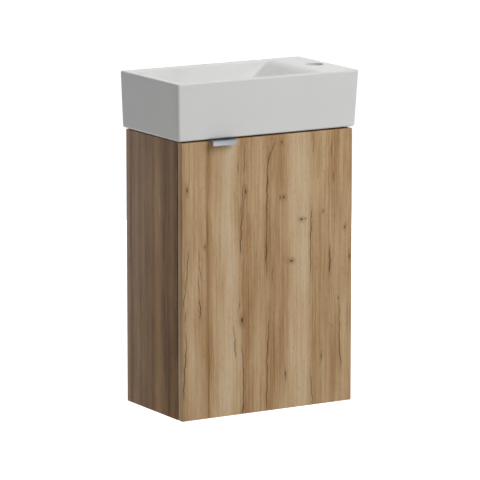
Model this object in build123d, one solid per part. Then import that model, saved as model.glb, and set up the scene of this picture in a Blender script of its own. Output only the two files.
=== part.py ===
from build123d import *
import os
from math import cos, radians, sin, tan

# A small wall-hung vanity unit. A one-piece basin with a tap ledge on its right stands on a
# cabinet with one door, which hangs on two concealed cup hinges and opens to the right.
# Millimetres. X runs right, Y back to the wall, Z up. The wall is the plane Y = 0, and the
# origin lies on it, midway between the two wall screws.

# Overall sizes: the basin stands a little past the cabinet at both sides and in front
BASIN_WIDTH = 400
BASIN_DEPTH = 220
BASIN_HEIGHT = 110
CABINET_HEIGHT = 534
SIDE_OVERHANG = 11
FRONT_OVERHANG = 24

# Cabinet
BOARD = 16
DOOR_THICKNESS = 16
DOOR_GAP = 2
DOOR_REVEAL = 0.5
WALL_SCREW_DROP = 45
FRONT_RAIL_DEPTH = 50
REAR_RAIL_HEIGHT = 85
REAR_RAIL_SETBACK = 20
BACK_THICKNESS = 3
BACK_SETBACK = 17
BACK_TOP_ABOVE_SHELF = 24
BACK_EDGE_CLEARANCE = 0.5
GROOVE_DEPTH = 8
GROOVE_CLEARANCE = 0.2
SHELF_HEIGHT = 250
SHELF_SETBACK = 6
SHELF_SIDE_CLEARANCE = 1
SHELF_BACK_CLEARANCE = 1

# Basin
BASIN_SIDE_DRAFT = 2.4
BASIN_FRONT_DRAFT = 3.2
SHADOW_GAP = 3
FRONT_CORNER_RADIUS = 5
RIM_OUTER_RADIUS = 3
BASIN_FOOT_RADIUS = 4
RIM = 13
BOWL_DEPTH = 84
BOWL_DRAFT = 4
BOWL_CORNER_RADIUS = 7
BOWL_FLOOR_RADIUS = 12
RAMP_ANGLE = 38.8
RAMP_FOOT_RADIUS = 30
LEDGE_WIDTH = 67
LEDGE_RADIUS = 40
LEDGE_FALL = 3
LEDGE_THICKNESS = 13
RAMP_THICKNESS = 13
TAP_HOLE_RADIUS = 17.5
TAP_HOLE_FROM_SIDE = 33.5
DRAIN_RADIUS = 23
DRAIN_SEAT_RADIUS = 32.5
DRAIN_SEAT_DEPTH = 3
UNDERSIDE_RECESS = 12
FOOT_RING_INSET = 4
FOOT_RING_WIDTH = 8
FOOT_RING_REAR = 24

# Shelf pins
FIT = 0.1
SHELF_PIN_RADIUS = 2.5
SHELF_PIN_IN_SIDE = 8
SHELF_PIN_OUT = 7
SHELF_PIN_SETBACKS = (37, 130)
SHELF_HOLE_PITCH = 32
SHELF_HOLES_EACH_WAY = 1

# Handle, a bent strip on the back of the door that goes over its top edge
HANDLE_WIDTH = 52
HANDLE_FROM_DOOR_EDGE = 59.5
HANDLE_THICKNESS = 1.5
HANDLE_REACH = 16
HANDLE_LIP = 9
HANDLE_BACK = 19
BUMPER_RADIUS = 4
BUMPER_THICKNESS = 1.7
BUMPER_FROM_END = 14

# Cup hinge, drawn in its own plane: X from the outer face of the side panel, Y from the inner
# face of the closed door, with the hinge's mid height at Z = 0
HINGE_FROM_END = 90
ARM_PIVOT_REAR = (-40, 16)
ARM_PIVOT_NOSE = (-25.7, -1)
CUP_PIVOT_OUTER = (-10.35, -2.2)
CUP_PIVOT_INNER = (-10.95, -5.45)
HINGE_PIN_RADIUS = 1
PIN_CLEARANCE = 0.05
OPEN_PIVOT_CLEARANCE = 0.6
CUP_RADIUS = 17.5
CUP_CENTRE = 22.5
CUP_DEPTH = 13
CUP_WALL = 1
CUP_FLANGE = 0.9
CUP_FLANGE_RADIUS = 19
CUP_EAR_RADIUS = 6
CUP_WEB_MARGIN = 0.6
CUP_EAR_SPACING = 48
CUP_EAR_OFFSET = 6
CUP_BORE_CLEARANCE = 0.1
LINK_THICKNESS = 2.4
LINK_EYE_RADIUS = 2
LINK_BEND_RADIUS = 1.2
OUTER_LINK_BENDS = ((-28, -3.4), (-14, -3.4))
INNER_LINK_BENDS = ((-26, -5), (-19.5, -10), (-13, -9.8))
NOSE_EYE_RADIUS = 2.6
INNER_LINK_HALF = 3
OUTER_LINK_CHEEK = (3.4, 4.9)
ARM_CHEEK = (5.3, 6.8)
ARM_WEB = 1.5
ARM_CROWN = 4.5
ARM_CROWN_LENGTH = (3, 7)
ARM_STEP_BACK = 18
ARM_SKIRT_GAP = 0.7
ARM_NECK = (9, 4)
PLATE_WING_LENGTH = 46
PLATE_WING_SETBACK = 35
PLATE_SPINE_HEIGHT = 8
PLATE_SPINE_HALF = 4.8
PLATE_SPINE_AHEAD = 22
PLATE_WING = 2.5
PLATE_WING_RADIUS = 7
ARM_TAIL = 60

# Hanger in each rear top corner, and the plate on the wall that it hooks over
WALL_PLATE_WIDTH = 60
WALL_PLATE_THICKNESS = 1.5
WALL_PLATE_BELOW = 22
WALL_PLATE_ABOVE = 30
WALL_PLATE_JOG = 4
WALL_PLATE_BEND = (6, 12)
WALL_PLATE_SIDE_GAP = 2
WALL_SCREW_RADIUS = 3.25
HANGER_WIDTH = 13
HANGER_DEPTH = 55
HANGER_TOP_DROP = 2
HANGER_HEIGHT = 58
HANGER_CORNER_RADIUS = 3
HOOK_THICKNESS = 3
HOOK_HEIGHT = 10
HOOK_TIP = 2.5
HOOK_TIP_DROP = 12
HOOK_IN_BODY = 34
HOOK_CLEARANCE = 0.3
HOOK_PLAY = 2
HOOK_NOTCH_CLEARANCE = 1.5
COVER_WALL = 1.2
COVER_CLEARANCE = 0.2
COVER_NOSE = 3

# Places that follow from the sizes above
HALF_WIDTH = BASIN_WIDTH / 2 - SIDE_OVERHANG
INNER_HALF = HALF_WIDTH - BOARD
TOP = WALL_SCREW_DROP
BOTTOM = TOP - CABINET_HEIGHT
FRONT = FRONT_OVERHANG - BASIN_DEPTH
DOOR_BACK = FRONT - DOOR_GAP
DOOR_FRONT = DOOR_BACK - DOOR_THICKNESS
BASIN_BOTTOM = TOP + SHADOW_GAP
BASIN_TOP = BASIN_BOTTOM + BASIN_HEIGHT
RAIL_REAR = -REAR_RAIL_SETBACK
RAIL_FRONT = RAIL_REAR - BOARD
SHELF_TOP = BOTTOM + SHELF_HEIGHT
SHELF_UNDER = SHELF_TOP - BOARD
BACK_REAR = -BACK_SETBACK
BACK_FRONT = BACK_REAR - BACK_THICKNESS
BACK_TOP = SHELF_TOP + BACK_TOP_ABOVE_SHELF
HINGE_HEIGHTS = {"upper": TOP - HINGE_FROM_END, "lower": BOTTOM + HINGE_FROM_END}
WALL_SCREW_X = INNER_HALF - WALL_PLATE_SIDE_GAP - WALL_PLATE_WIDTH / 2
HANGER_FRONT = RAIL_FRONT - FIT - HANGER_DEPTH
HANGER_TOP = TOP - HANGER_TOP_DROP
HANGER_BOTTOM = HANGER_TOP - HANGER_HEIGHT
HOOK_X = INNER_HALF - HANGER_WIDTH / 2
SHELF_PIN_Y = [FRONT + setback for setback in SHELF_PIN_SETBACKS]
SHELF_PIN_Z = SHELF_UNDER - SHELF_PIN_RADIUS
HANDLE_LEFT = HANDLE_FROM_DOOR_EDGE - HALF_WIDTH
HANDLE_RIGHT = HANDLE_LEFT + HANDLE_WIDTH
HOOK_LOW = WALL_PLATE_ABOVE
HOOK_HIGH = HOOK_LOW + HOOK_HEIGHT
HOOK_FRONT = RAIL_FRONT - HOOK_IN_BODY


def block(x, y, z):
    """A box between a low and a high value along each axis."""
    spans = [sorted(pair) for pair in (x, y, z)]
    size = [high - low for low, high in spans]
    middle = [(high + low) / 2 for low, high in spans]
    return Pos(*middle) * Box(*size)


def slab(face, axis, low, high):
    """A face drawn in the plane across an axis, made solid from low to high along it."""
    plane = {"X": Plane.YZ, "Y": Plane.XZ, "Z": Plane.XY}[axis]
    start = -high if axis == "Y" else low
    return extrude(plane.offset(start) * face, high - low)


def outline(*points):
    """A face with straight sides through the points."""
    return make_face(Polyline(*points, close=True))


def rod(radius, start, end):
    """A round bar between two points."""
    line = Vector(*end) - Vector(*start)
    return extrude(Plane(origin=start, z_dir=line) * Circle(radius), line.length)


def mirrored(shape):
    """The same shape for the other side of the cabinet."""
    return mirror(shape, Plane.YZ)


def both_ends(shapes):
    """The shapes of the right end, and the same again at the left end."""
    return shapes + [mirrored(shape) for shape in shapes]


# Basin

def basin_body():
    """The outer form: plain at the wall, drawn in downwards and rounded at the front and sides."""
    side = BASIN_HEIGHT * tan(radians(BASIN_SIDE_DRAFT))
    front = BASIN_HEIGHT * tan(radians(BASIN_FRONT_DRAFT))
    half = BASIN_WIDTH / 2
    across = outline(
        (-half, BASIN_TOP),
        (half, BASIN_TOP),
        (half - side, BASIN_BOTTOM),
        (side - half, BASIN_BOTTOM),
    )
    along = outline(
        (0, BASIN_TOP),
        (0, BASIN_BOTTOM),
        (front - BASIN_DEPTH, BASIN_BOTTOM),
        (-BASIN_DEPTH, BASIN_TOP),
    )
    body = slab(across, "Y", -BASIN_DEPTH, 0) & slab(along, "X", -half, half)
    upright = body.edges().filter_by(lambda e: abs(e.tangent_at(0.5).Z) > 0.9)
    body = fillet(upright.sort_by(Axis.Y)[:2], FRONT_CORNER_RADIUS)
    for level, radius in ((-1, RIM_OUTER_RADIUS), (0, BASIN_FOOT_RADIUS)):
        edges = body.edges().group_by(Axis.Z)[level].filter_by(lambda e: e.center().Y < -1)
        body = fillet(edges, radius)
    return body


def ramp_line():
    """Where the ramp meets the ledge, and where it meets the bowl's floor."""
    ledge_edge = BASIN_WIDTH / 2 - LEDGE_WIDTH
    turn = radians(RAMP_ANGLE - LEDGE_FALL) / 2
    reach = LEDGE_RADIUS * tan(turn)
    fall = radians(LEDGE_FALL)
    top = (ledge_edge - reach * cos(fall), BASIN_TOP - reach * sin(fall))
    floor = BASIN_TOP - BOWL_DEPTH
    foot = (top[0] - (top[1] - floor) / tan(radians(RAMP_ANGLE)), floor)
    return top, foot


def bowl():
    """The space inside the bowl: three drafted walls, a flat floor and a ramp up to the ledge."""
    above = 15
    top, foot = ramp_line()
    floor = foot[1]
    lean = tan(radians(BOWL_DRAFT))
    left = RIM - BASIN_WIDTH / 2
    ledge_edge = BASIN_WIDTH / 2 - LEDGE_WIDTH
    beyond = 25
    ledge_end = (ledge_edge + beyond, BASIN_TOP + beyond * tan(radians(LEDGE_FALL)))
    start = (left - above * lean, BASIN_TOP + above)
    shaped = FilletPolyline(
        start,
        (left + BOWL_DEPTH * lean, floor),
        foot,
        top,
        ledge_end,
        radius=[BOWL_FLOOR_RADIUS, RAMP_FOOT_RADIUS, LEDGE_RADIUS],
    )
    lid = Polyline(ledge_end, (ledge_end[0], BASIN_TOP + above), start)
    across = make_face(shaped + lid)
    near, far = RIM - BASIN_DEPTH, -RIM
    along = outline(
        (near - above * lean, BASIN_TOP + above),
        (near + BOWL_DEPTH * lean, floor),
        (far - BOWL_DEPTH * lean, floor),
        (far + above * lean, BASIN_TOP + above),
    )
    space = slab(across, "Y", -BASIN_DEPTH, 0) & slab(along, "X", -BASIN_WIDTH / 2, BASIN_WIDTH / 2)
    walls = space.faces().filter_by(lambda f: abs(f.normal_at().Y) > 0.9)
    creases = [e for wall in walls for e in wall.edges() if e.center().Z < BASIN_TOP + above - 0.1]
    creases = [e for e in creases if e.center().X < ledge_end[0] - 0.1]
    return fillet(creases, BOWL_CORNER_RADIUS)


def tap_bay():
    """The hollow below the ledge and the ramp, where the tap's nut and hoses go."""
    top, foot = ramp_line()
    drop = RAMP_THICKNESS / cos(radians(RAMP_ANGLE))
    slope = tan(radians(RAMP_ANGLE))
    ceiling = BASIN_TOP - LEDGE_THICKNESS
    underside = BASIN_BOTTOM + UNDERSIDE_RECESS
    recess = INNER_HALF + FOOT_RING_INSET
    across = outline(
        (foot[0] - (foot[1] - drop - underside) / slope, underside),
        (top[0] + (ceiling - top[1] + drop) / slope, ceiling),
        (BASIN_WIDTH / 2 - RIM, ceiling),
        (recess, underside),
    )
    near, far = RIM - BASIN_DEPTH, -RIM
    along = outline(
        (FRONT + FOOT_RING_INSET + FOOT_RING_WIDTH, underside),
        (near + FOOT_RING_INSET, ceiling),
        (far - FOOT_RING_INSET, ceiling),
        (-FOOT_RING_REAR - FOOT_RING_WIDTH, underside),
    )
    return slab(across, "Y", -BASIN_DEPTH, 0) & slab(along, "X", 0, BASIN_WIDTH / 2)


def basin():
    """The whole basin, with its rounded rim, foot ring, tap hole and drain."""
    body = basin_body() - bowl()

    outer_x = INNER_HALF + FOOT_RING_INSET + FOOT_RING_WIDTH
    front, rear = FRONT + FOOT_RING_INSET, -FOOT_RING_REAR
    ring = block((-outer_x, outer_x), (front, rear), (TOP, BASIN_BOTTOM + FIT))
    recess = block(
        (FOOT_RING_WIDTH - outer_x, outer_x - FOOT_RING_WIDTH),
        (front + FOOT_RING_WIDTH, rear - FOOT_RING_WIDTH),
        (TOP, BASIN_BOTTOM + UNDERSIDE_RECESS),
    )
    recess = fillet(recess.edges().filter_by(Axis.Z), FOOT_RING_WIDTH)
    body = body + ring - recess - tap_bay()

    middle = -BASIN_DEPTH / 2
    tap_x = BASIN_WIDTH / 2 - TAP_HOLE_FROM_SIDE
    below = BASIN_TOP - LEDGE_THICKNESS - 1
    body -= rod(TAP_HOLE_RADIUS, (tap_x, middle, below), (tap_x, middle, BASIN_TOP + 1))
    floor = BASIN_TOP - BOWL_DEPTH
    drain_x = (RIM - BASIN_WIDTH / 2 + ramp_line()[1][0]) / 2
    body -= rod(DRAIN_RADIUS, (drain_x, middle, TOP), (drain_x, middle, floor + 1))
    seat = floor - DRAIN_SEAT_DEPTH
    return body - rod(DRAIN_SEAT_RADIUS, (drain_x, middle, seat), (drain_x, middle, floor + 1))


# Carcass

def shelf_pin_holes():
    """The rows of shelf-pin holes in the right side panel."""
    end = INNER_HALF + SHELF_PIN_IN_SIDE + FIT
    steps = range(-SHELF_HOLES_EACH_WAY, SHELF_HOLES_EACH_WAY + 1)
    heights = [SHELF_PIN_Z + step * SHELF_HOLE_PITCH for step in steps]
    radius = SHELF_PIN_RADIUS + FIT / 2
    return [rod(radius, (INNER_HALF, y, z), (end, y, z)) for y in SHELF_PIN_Y for z in heights]


def back_groove(x, z):
    """The groove for the thin back, with its fitting clearance."""
    clearance = GROOVE_CLEARANCE / 2
    return block(x, (BACK_FRONT - clearance, BACK_REAR + clearance), z)


def side_panel():
    """The right side panel, with the groove for the back and the rows of shelf-pin holes."""
    panel = block((INNER_HALF, HALF_WIDTH), (FRONT, 0), (BOTTOM, TOP))
    groove = back_groove((INNER_HALF, INNER_HALF + GROOVE_DEPTH), (BOTTOM, TOP))
    return panel - groove - shelf_pin_holes()


def bottom_panel():
    """The bottom board, grooved for the back panel."""
    span = (-INNER_HALF, INNER_HALF)
    surface = BOTTOM + BOARD
    board = block(span, (FRONT, 0), (BOTTOM, surface))
    return board - back_groove(span, (surface - GROOVE_DEPTH, surface))


def front_top_rail():
    """The flat rail under the front of the basin."""
    rear = FRONT + FRONT_RAIL_DEPTH
    return block((-INNER_HALF, INNER_HALF), (FRONT, rear), (TOP - BOARD, TOP))


def rear_top_rail():
    """The upright rail at the back, notched at both ends for the hooks."""
    depth = (RAIL_FRONT, RAIL_REAR)
    rail = block((-INNER_HALF, INNER_HALF), depth, (TOP - REAR_RAIL_HEIGHT, TOP))
    near = HOOK_X - HOOK_THICKNESS / 2 - HOOK_NOTCH_CLEARANCE
    notch = block((near, INNER_HALF), depth, (HOOK_LOW - HOOK_NOTCH_CLEARANCE, TOP))
    return rail - both_ends([notch])


def back_panel():
    """The thin back, which covers only the part below the plumbing window."""
    reach = GROOVE_DEPTH - BACK_EDGE_CLEARANCE
    half = INNER_HALF + reach
    bottom = BOTTOM + BOARD - reach
    return block((-half, half), (BACK_FRONT, BACK_REAR), (bottom, BACK_TOP))


def shelf():
    """The loose shelf."""
    half = INNER_HALF - SHELF_SIDE_CLEARANCE
    depth = (FRONT + SHELF_SETBACK, BACK_FRONT - SHELF_BACK_CLEARANCE)
    return block((-half, half), depth, (SHELF_UNDER, SHELF_TOP))


def shelf_pin(y):
    """A shelf pin: a peg in the side panel and out under the shelf."""
    end = INNER_HALF + SHELF_PIN_IN_SIDE
    return rod(SHELF_PIN_RADIUS, (end, y, SHELF_PIN_Z), (INNER_HALF - SHELF_PIN_OUT, y, SHELF_PIN_Z))


# Door and handle

def door():
    """The door, bored for the hinge cups."""
    half = HALF_WIDTH - DOOR_REVEAL
    panel = block((-half, half), (DOOR_FRONT, DOOR_BACK), (BOTTOM, TOP))
    bottom = -CUP_DEPTH - CUP_BORE_CLEARANCE
    bore = rod(CUP_RADIUS + CUP_BORE_CLEARANCE, (-CUP_CENTRE, bottom, 0), (-CUP_CENTRE, 0, 0))
    return panel - at_both_hinges([bore])


def handle():
    """The edge pull: a strip behind the door, bent over its top edge and down in front."""
    t = HANDLE_THICKNESS
    front = DOOR_FRONT - HANDLE_REACH
    back = DOOR_BACK + t
    top = TOP + t
    section = outline(
        (back, top - HANDLE_BACK),
        (back, top),
        (front, top),
        (front, top - HANDLE_LIP),
        (front + t, top - HANDLE_LIP),
        (front + t, TOP),
        (DOOR_BACK, TOP),
        (DOOR_BACK, top - HANDLE_BACK),
    )
    section = fillet(section.vertices().group_by(Axis.Y)[-1], t)
    return slab(section, "X", HANDLE_LEFT, HANDLE_RIGHT)


def bumper(z):
    """A soft dot that the closing door lands on."""
    x = BOARD / 2 - HALF_WIDTH
    return rod(BUMPER_RADIUS, (x, DOOR_BACK, z), (x, DOOR_BACK + BUMPER_THICKNESS, z))


# Hinges

def stroke(points):
    """A strip as wide as a link along a line through the points, with round ends and bends."""
    return trace(FilletPolyline(*points, radius=LINK_BEND_RADIUS), LINK_THICKNESS)


def eye(pivot, radius):
    """The round end of a link or arm."""
    return Pos(*pivot) * Circle(radius)


def across_hinge(shape, low, high):
    """The shape made solid on both sides of the hinge's mid height, from low to high."""
    return slab(shape, "Z", low, high) + slab(shape, "Z", -high, -low)


def pivot_pin(pivot, radius, end):
    """A pin right across the hinge, or the hole that takes one."""
    return rod(radius, (*pivot, -end), (*pivot, end))


def outer_link():
    """The long link: two cheeks from the arm's rear pivot to the cup, joined near the arm."""
    shape = stroke([ARM_PIVOT_REAR, *OUTER_LINK_BENDS, CUP_PIVOT_OUTER])
    shape += eye(ARM_PIVOT_REAR, LINK_EYE_RADIUS) + eye(CUP_PIVOT_OUTER, LINK_EYE_RADIUS)
    low, high = OUTER_LINK_CHEEK
    halfway = tuple((a + b) / 2 for a, b in zip(ARM_PIVOT_REAR, OUTER_LINK_BENDS[0]))
    bridge = slab(trace(Line(ARM_PIVOT_REAR, halfway), LINK_THICKNESS), "Z", -high, high)
    link = across_hinge(shape, low, high) + bridge
    radius = HINGE_PIN_RADIUS + PIN_CLEARANCE
    return link - [pivot_pin(pivot, radius, high) for pivot in (ARM_PIVOT_REAR, CUP_PIVOT_OUTER)]


def inner_link():
    """The hooked link between the arm's nose and the cup, with an easy eye at the nose."""
    shape = stroke([ARM_PIVOT_NOSE, *INNER_LINK_BENDS, CUP_PIVOT_INNER])
    shape += eye(ARM_PIVOT_NOSE, NOSE_EYE_RADIUS) + eye(CUP_PIVOT_INNER, LINK_EYE_RADIUS)
    half = INNER_LINK_HALF
    link = slab(shape, "Z", -half, half)
    link -= pivot_pin(ARM_PIVOT_NOSE, HINGE_PIN_RADIUS + OPEN_PIVOT_CLEARANCE, half)
    return link - pivot_pin(CUP_PIVOT_INNER, HINGE_PIN_RADIUS + PIN_CLEARANCE, half)


def hinge_arm():
    """The pressed arm: a channel over the mounting plate, stepped up to carry both links."""
    low, high = ARM_CHEEK
    seat = -BOARD - PLATE_SPINE_HEIGHT
    roof = seat - ARM_WEB
    skirt = -BOARD - PLATE_WING - ARM_SKIRT_GAP
    nose_x, nose_y = ARM_PIVOT_NOSE
    rear_x, rear_y = ARM_PIVOT_REAR
    crown = rear_x - ARM_CROWN
    ahead, behind = ARM_CROWN_LENGTH
    neck, shoulder = ARM_NECK
    cheeks = outline(
        (nose_x + NOSE_EYE_RADIUS, nose_y),
        (nose_x + NOSE_EYE_RADIUS, nose_y + neck),
        (skirt, rear_y + shoulder),
        (skirt, ARM_TAIL),
        (roof, ARM_TAIL),
        (roof, rear_y + ARM_STEP_BACK),
        (crown, rear_y + behind),
        (crown, rear_y - ahead),
        (nose_x - NOSE_EYE_RADIUS, nose_y),
    )
    cheeks += eye(ARM_PIVOT_NOSE, NOSE_EYE_RADIUS)
    under = crown + ARM_WEB
    beyond = nose_y - 2 * NOSE_EYE_RADIUS
    hollow = outline(
        (0, ARM_TAIL + 1),
        (seat, ARM_TAIL + 1),
        (seat, rear_y + ARM_STEP_BACK + ARM_WEB / 2),
        (under, rear_y + behind + ARM_WEB / 2),
        (under, rear_y - ahead),
        (crown - ARM_WEB, rear_y - 2 * ahead),
        (crown - ARM_WEB, beyond),
        (0, beyond),
    )
    arm = slab(cheeks, "Z", -high, high) - slab(hollow, "Z", -low, low)
    return arm + [pivot_pin(pivot, HINGE_PIN_RADIUS, high) for pivot in (ARM_PIVOT_REAR, ARM_PIVOT_NOSE)]


def hinge_plate():
    """The mounting plate: a raised spine that the arm slides on, and a wing across it."""
    face = -BOARD
    half = PLATE_SPINE_HALF
    y = PLATE_WING_SETBACK + DOOR_GAP
    spine = block((face - PLATE_SPINE_HEIGHT, face), (y - PLATE_SPINE_AHEAD, ARM_TAIL), (-half, half))
    wing = Pos(y, 0) * SlotOverall(PLATE_WING_LENGTH, 2 * PLATE_WING_RADIUS, rotation=90)
    return spine + slab(wing, "X", face - PLATE_WING, face)


def hinge_cup():
    """The cup with its eared flange, and two webs inside that carry the link pins."""
    def disc(radius):
        return Pos(-CUP_CENTRE, 0) * Circle(radius)

    places = [Pos(-CUP_CENTRE - CUP_EAR_OFFSET, way * CUP_EAR_SPACING / 2) for way in (-1, 1)]
    ears = Sketch() + [place * Circle(CUP_EAR_RADIUS) for place in places]
    flange = make_hull((ears + disc(CUP_FLANGE_RADIUS)).edges())
    cup = slab(flange, "Y", 0, CUP_FLANGE) + slab(disc(CUP_RADIUS), "Y", -CUP_DEPTH, 0)
    cup -= slab(disc(CUP_RADIUS - CUP_WALL), "Y", CUP_WALL - CUP_DEPTH, CUP_FLANGE)
    near = CUP_PIVOT_OUTER[0] - LINK_EYE_RADIUS - CUP_WEB_MARGIN
    low_y = CUP_PIVOT_INNER[1] - LINK_EYE_RADIUS
    high_y = CUP_PIVOT_OUTER[1] + LINK_EYE_RADIUS
    web = outline((near, low_y), (0, low_y), (0, high_y), (near, high_y))
    low, high = ARM_CHEEK
    cup += across_hinge(web, low, high) & slab(disc(CUP_RADIUS - CUP_WALL / 2), "Y", -CUP_DEPTH, CUP_FLANGE)
    stub = OUTER_LINK_CHEEK[0] - 2 * FIT
    short_pin = across_hinge(eye(CUP_PIVOT_OUTER, HINGE_PIN_RADIUS), stub, high)
    return cup + short_pin + pivot_pin(CUP_PIVOT_INNER, HINGE_PIN_RADIUS, high)


def at_hinge(shape, height):
    """Move a piece drawn in the hinge's own plane to its place in the cabinet."""
    return Pos(HALF_WIDTH, DOOR_BACK, height) * shape


def at_both_hinges(shapes):
    """The pieces repeated at the upper and the lower hinge."""
    return [at_hinge(shape, height) for height in HINGE_HEIGHTS.values() for shape in shapes]


# Hangers

def wall_plate():
    """The steel plate on the wall, jogged forward at the top to make the lip for the hook."""
    t, jog = WALL_PLATE_THICKNESS, WALL_PLATE_JOG
    bend_low, bend_high = WALL_PLATE_BEND
    side = outline(
        (0, -WALL_PLATE_BELOW),
        (0, bend_low),
        (-jog, bend_high),
        (-jog, WALL_PLATE_ABOVE),
        (-jog - t, WALL_PLATE_ABOVE),
        (-jog - t, bend_high - t / 2),
        (-t, bend_low - t / 2),
        (-t, -WALL_PLATE_BELOW),
    )
    half = WALL_PLATE_WIDTH / 2
    plate = slab(side, "X", WALL_SCREW_X - half, WALL_SCREW_X + half)
    return plate - rod(WALL_SCREW_RADIUS, (WALL_SCREW_X, -t - 1, 0), (WALL_SCREW_X, 1, 0))


def hanger_hook():
    """The hook: a flat bar from the hanger body, over the wall plate and down behind its lip."""
    tip_front = HOOK_CLEARANCE - WALL_PLATE_JOG
    tip_rear = tip_front + HOOK_TIP
    side = outline(
        (HOOK_FRONT, HOOK_LOW),
        (HOOK_FRONT, HOOK_HIGH),
        (tip_rear, HOOK_HIGH),
        (tip_rear, HOOK_LOW - HOOK_TIP_DROP),
        (tip_front, HOOK_LOW - HOOK_TIP_DROP),
        (tip_front, HOOK_LOW),
    )
    half = HOOK_THICKNESS / 2
    return slab(side, "X", HOOK_X - half, HOOK_X + half)


def hanger_body():
    """The housing on the side panel, slotted for the hook."""
    depth = (HANGER_FRONT, HANGER_FRONT + HANGER_DEPTH)
    housing = block((INNER_HALF - HANGER_WIDTH, INNER_HALF), depth, (HANGER_BOTTOM, HANGER_TOP))
    housing = fillet(housing.edges().filter_by(Axis.X), HANGER_CORNER_RADIUS)
    half = (HOOK_THICKNESS + FIT) / 2
    height = (HOOK_LOW - HOOK_PLAY, HOOK_HIGH + HOOK_PLAY)
    return housing - block((HOOK_X - half, HOOK_X + half), (HOOK_FRONT - FIT, RAIL_FRONT), height)


def hanger_cover():
    """The thin cap over the hanger, open to the side panel and to the rear rail."""
    gap, wall = COVER_CLEARANCE, COVER_WALL
    x = INNER_HALF - HANGER_WIDTH - gap
    front = HANGER_FRONT - COVER_NOSE
    low, high = HANGER_BOTTOM - gap, HANGER_TOP + gap
    shell = block((x - wall, INNER_HALF), (front - wall, RAIL_FRONT), (low - wall, high + wall))
    edges = shell.edges().filter_by(Axis.X) + shell.edges().filter_by(Axis.Y)
    rounded = [e for e in edges if e.center().X < INNER_HALF - 0.1 and e.center().Y < RAIL_FRONT - 0.1]
    shell = fillet(rounded, wall)
    return shell - block((x, INNER_HALF), (front, RAIL_FRONT), (low, high))


def build():
    """Every node of the unit, by name."""
    nodes = {
        "basin": basin(),
        "side_panel_left": mirrored(side_panel()),
        "side_panel_right": side_panel(),
        "bottom_panel": bottom_panel(),
        "front_top_rail": front_top_rail(),
        "rear_top_rail": rear_top_rail(),
        "back_panel": back_panel(),
        "shelf": shelf(),
        "shelf_pins": both_ends([shelf_pin(y) for y in SHELF_PIN_Y]),
        "door": door(),
        "handle": handle(),
        "door_bumpers": [bumper(z) for z in (TOP - BUMPER_FROM_END, BOTTOM + BUMPER_FROM_END)],
    }
    hinge_pieces = {
        "arm": hinge_arm(),
        "plate": hinge_plate(),
        "cup": hinge_cup(),
        "outer_link": outer_link(),
        "inner_link": inner_link(),
    }
    for piece, shape in hinge_pieces.items():
        for name, height in HINGE_HEIGHTS.items():
            nodes[f"{name}_hinge_{piece}"] = at_hinge(shape, height)
    hanger_pieces = {
        "wall_plate": wall_plate(),
        "hanger_hook": hanger_hook(),
        "hanger_body": hanger_body(),
        "hanger_cover": hanger_cover(),
    }
    for piece, shape in hanger_pieces.items():
        nodes[f"left_{piece}"] = mirrored(shape)
        nodes[f"right_{piece}"] = shape
    return nodes


def main():
    """Write one file for each node, with repeated pieces as separate solids in one file."""
    os.makedirs("parts", exist_ok=True)
    for name, shape in build().items():
        if isinstance(shape, list):
            solids = [solid for piece in shape for solid in piece.solids()]
            shape = Compound(children=solids)
        export_step(shape, f"parts/{name}.step")


if __name__ == "__main__":
    main()
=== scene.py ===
from math import atan2, cos, degrees, hypot, pi, radians, sin

import bmesh
import bpy
import numpy as np
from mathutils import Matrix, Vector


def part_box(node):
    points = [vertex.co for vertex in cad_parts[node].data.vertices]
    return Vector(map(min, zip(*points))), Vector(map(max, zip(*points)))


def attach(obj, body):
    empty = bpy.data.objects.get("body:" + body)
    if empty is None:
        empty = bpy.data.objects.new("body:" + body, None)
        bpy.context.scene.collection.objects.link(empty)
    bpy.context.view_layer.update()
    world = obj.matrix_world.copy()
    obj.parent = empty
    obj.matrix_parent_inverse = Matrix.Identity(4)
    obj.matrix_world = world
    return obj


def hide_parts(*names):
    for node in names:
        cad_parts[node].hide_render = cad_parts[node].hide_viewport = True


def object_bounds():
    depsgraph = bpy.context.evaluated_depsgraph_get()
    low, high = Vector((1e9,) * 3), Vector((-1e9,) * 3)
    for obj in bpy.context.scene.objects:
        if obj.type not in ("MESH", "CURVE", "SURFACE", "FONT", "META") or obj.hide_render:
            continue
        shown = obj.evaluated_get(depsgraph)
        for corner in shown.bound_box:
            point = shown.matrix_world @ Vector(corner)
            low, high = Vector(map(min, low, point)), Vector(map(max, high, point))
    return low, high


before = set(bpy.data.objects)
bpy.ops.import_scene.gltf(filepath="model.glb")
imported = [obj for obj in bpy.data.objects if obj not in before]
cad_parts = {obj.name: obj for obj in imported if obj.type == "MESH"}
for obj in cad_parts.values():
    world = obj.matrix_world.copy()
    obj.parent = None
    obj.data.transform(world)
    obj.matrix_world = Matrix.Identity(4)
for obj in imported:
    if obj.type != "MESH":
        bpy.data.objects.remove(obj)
CAD_BOX = [list(corner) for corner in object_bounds()]
MM = 0.001

bl_info = {
    "name": "Wall-hung vanity unit",
    "version": (1, 0, 0),
    "blender": (4, 5, 0),
    "location": "3D View > Sidebar > Vanity",
    "description": "Finishes, fittings and studio for a small vanity unit around its packed CAD frame",
    "category": "Object",
}

# The basin's sizes over its sharp corners, in millimetres, before the rims are rounded
BASIN_WIDTH = 400
BASIN_DEPTH = 220

# The decor's pattern is as wide as the door, and leans into the board by DECOR_SLANT, so that edges
# show other planks than faces do. The door's face is DOOR_FRONT millimetres before the wall.
DECOR_WIDTH = 377
DECOR_SLANT = 1.7
DOOR_FRONT = 214

CUP_BORE_RADIUS = 17.6

HINGES = ("upper", "lower")
SIDES = ("left", "right")

# The camera that matches the photo, which is PHOTO_SIDE pixels wide and high
PHOTO_SIDE = 480
LENS = 293.4
SENSOR = 36.0
CAMERA_PLACE = (-3.787, -6.485, 1.202)
CAMERA_PITCH = 79.5
CAMERA_YAW = -30.71

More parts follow.
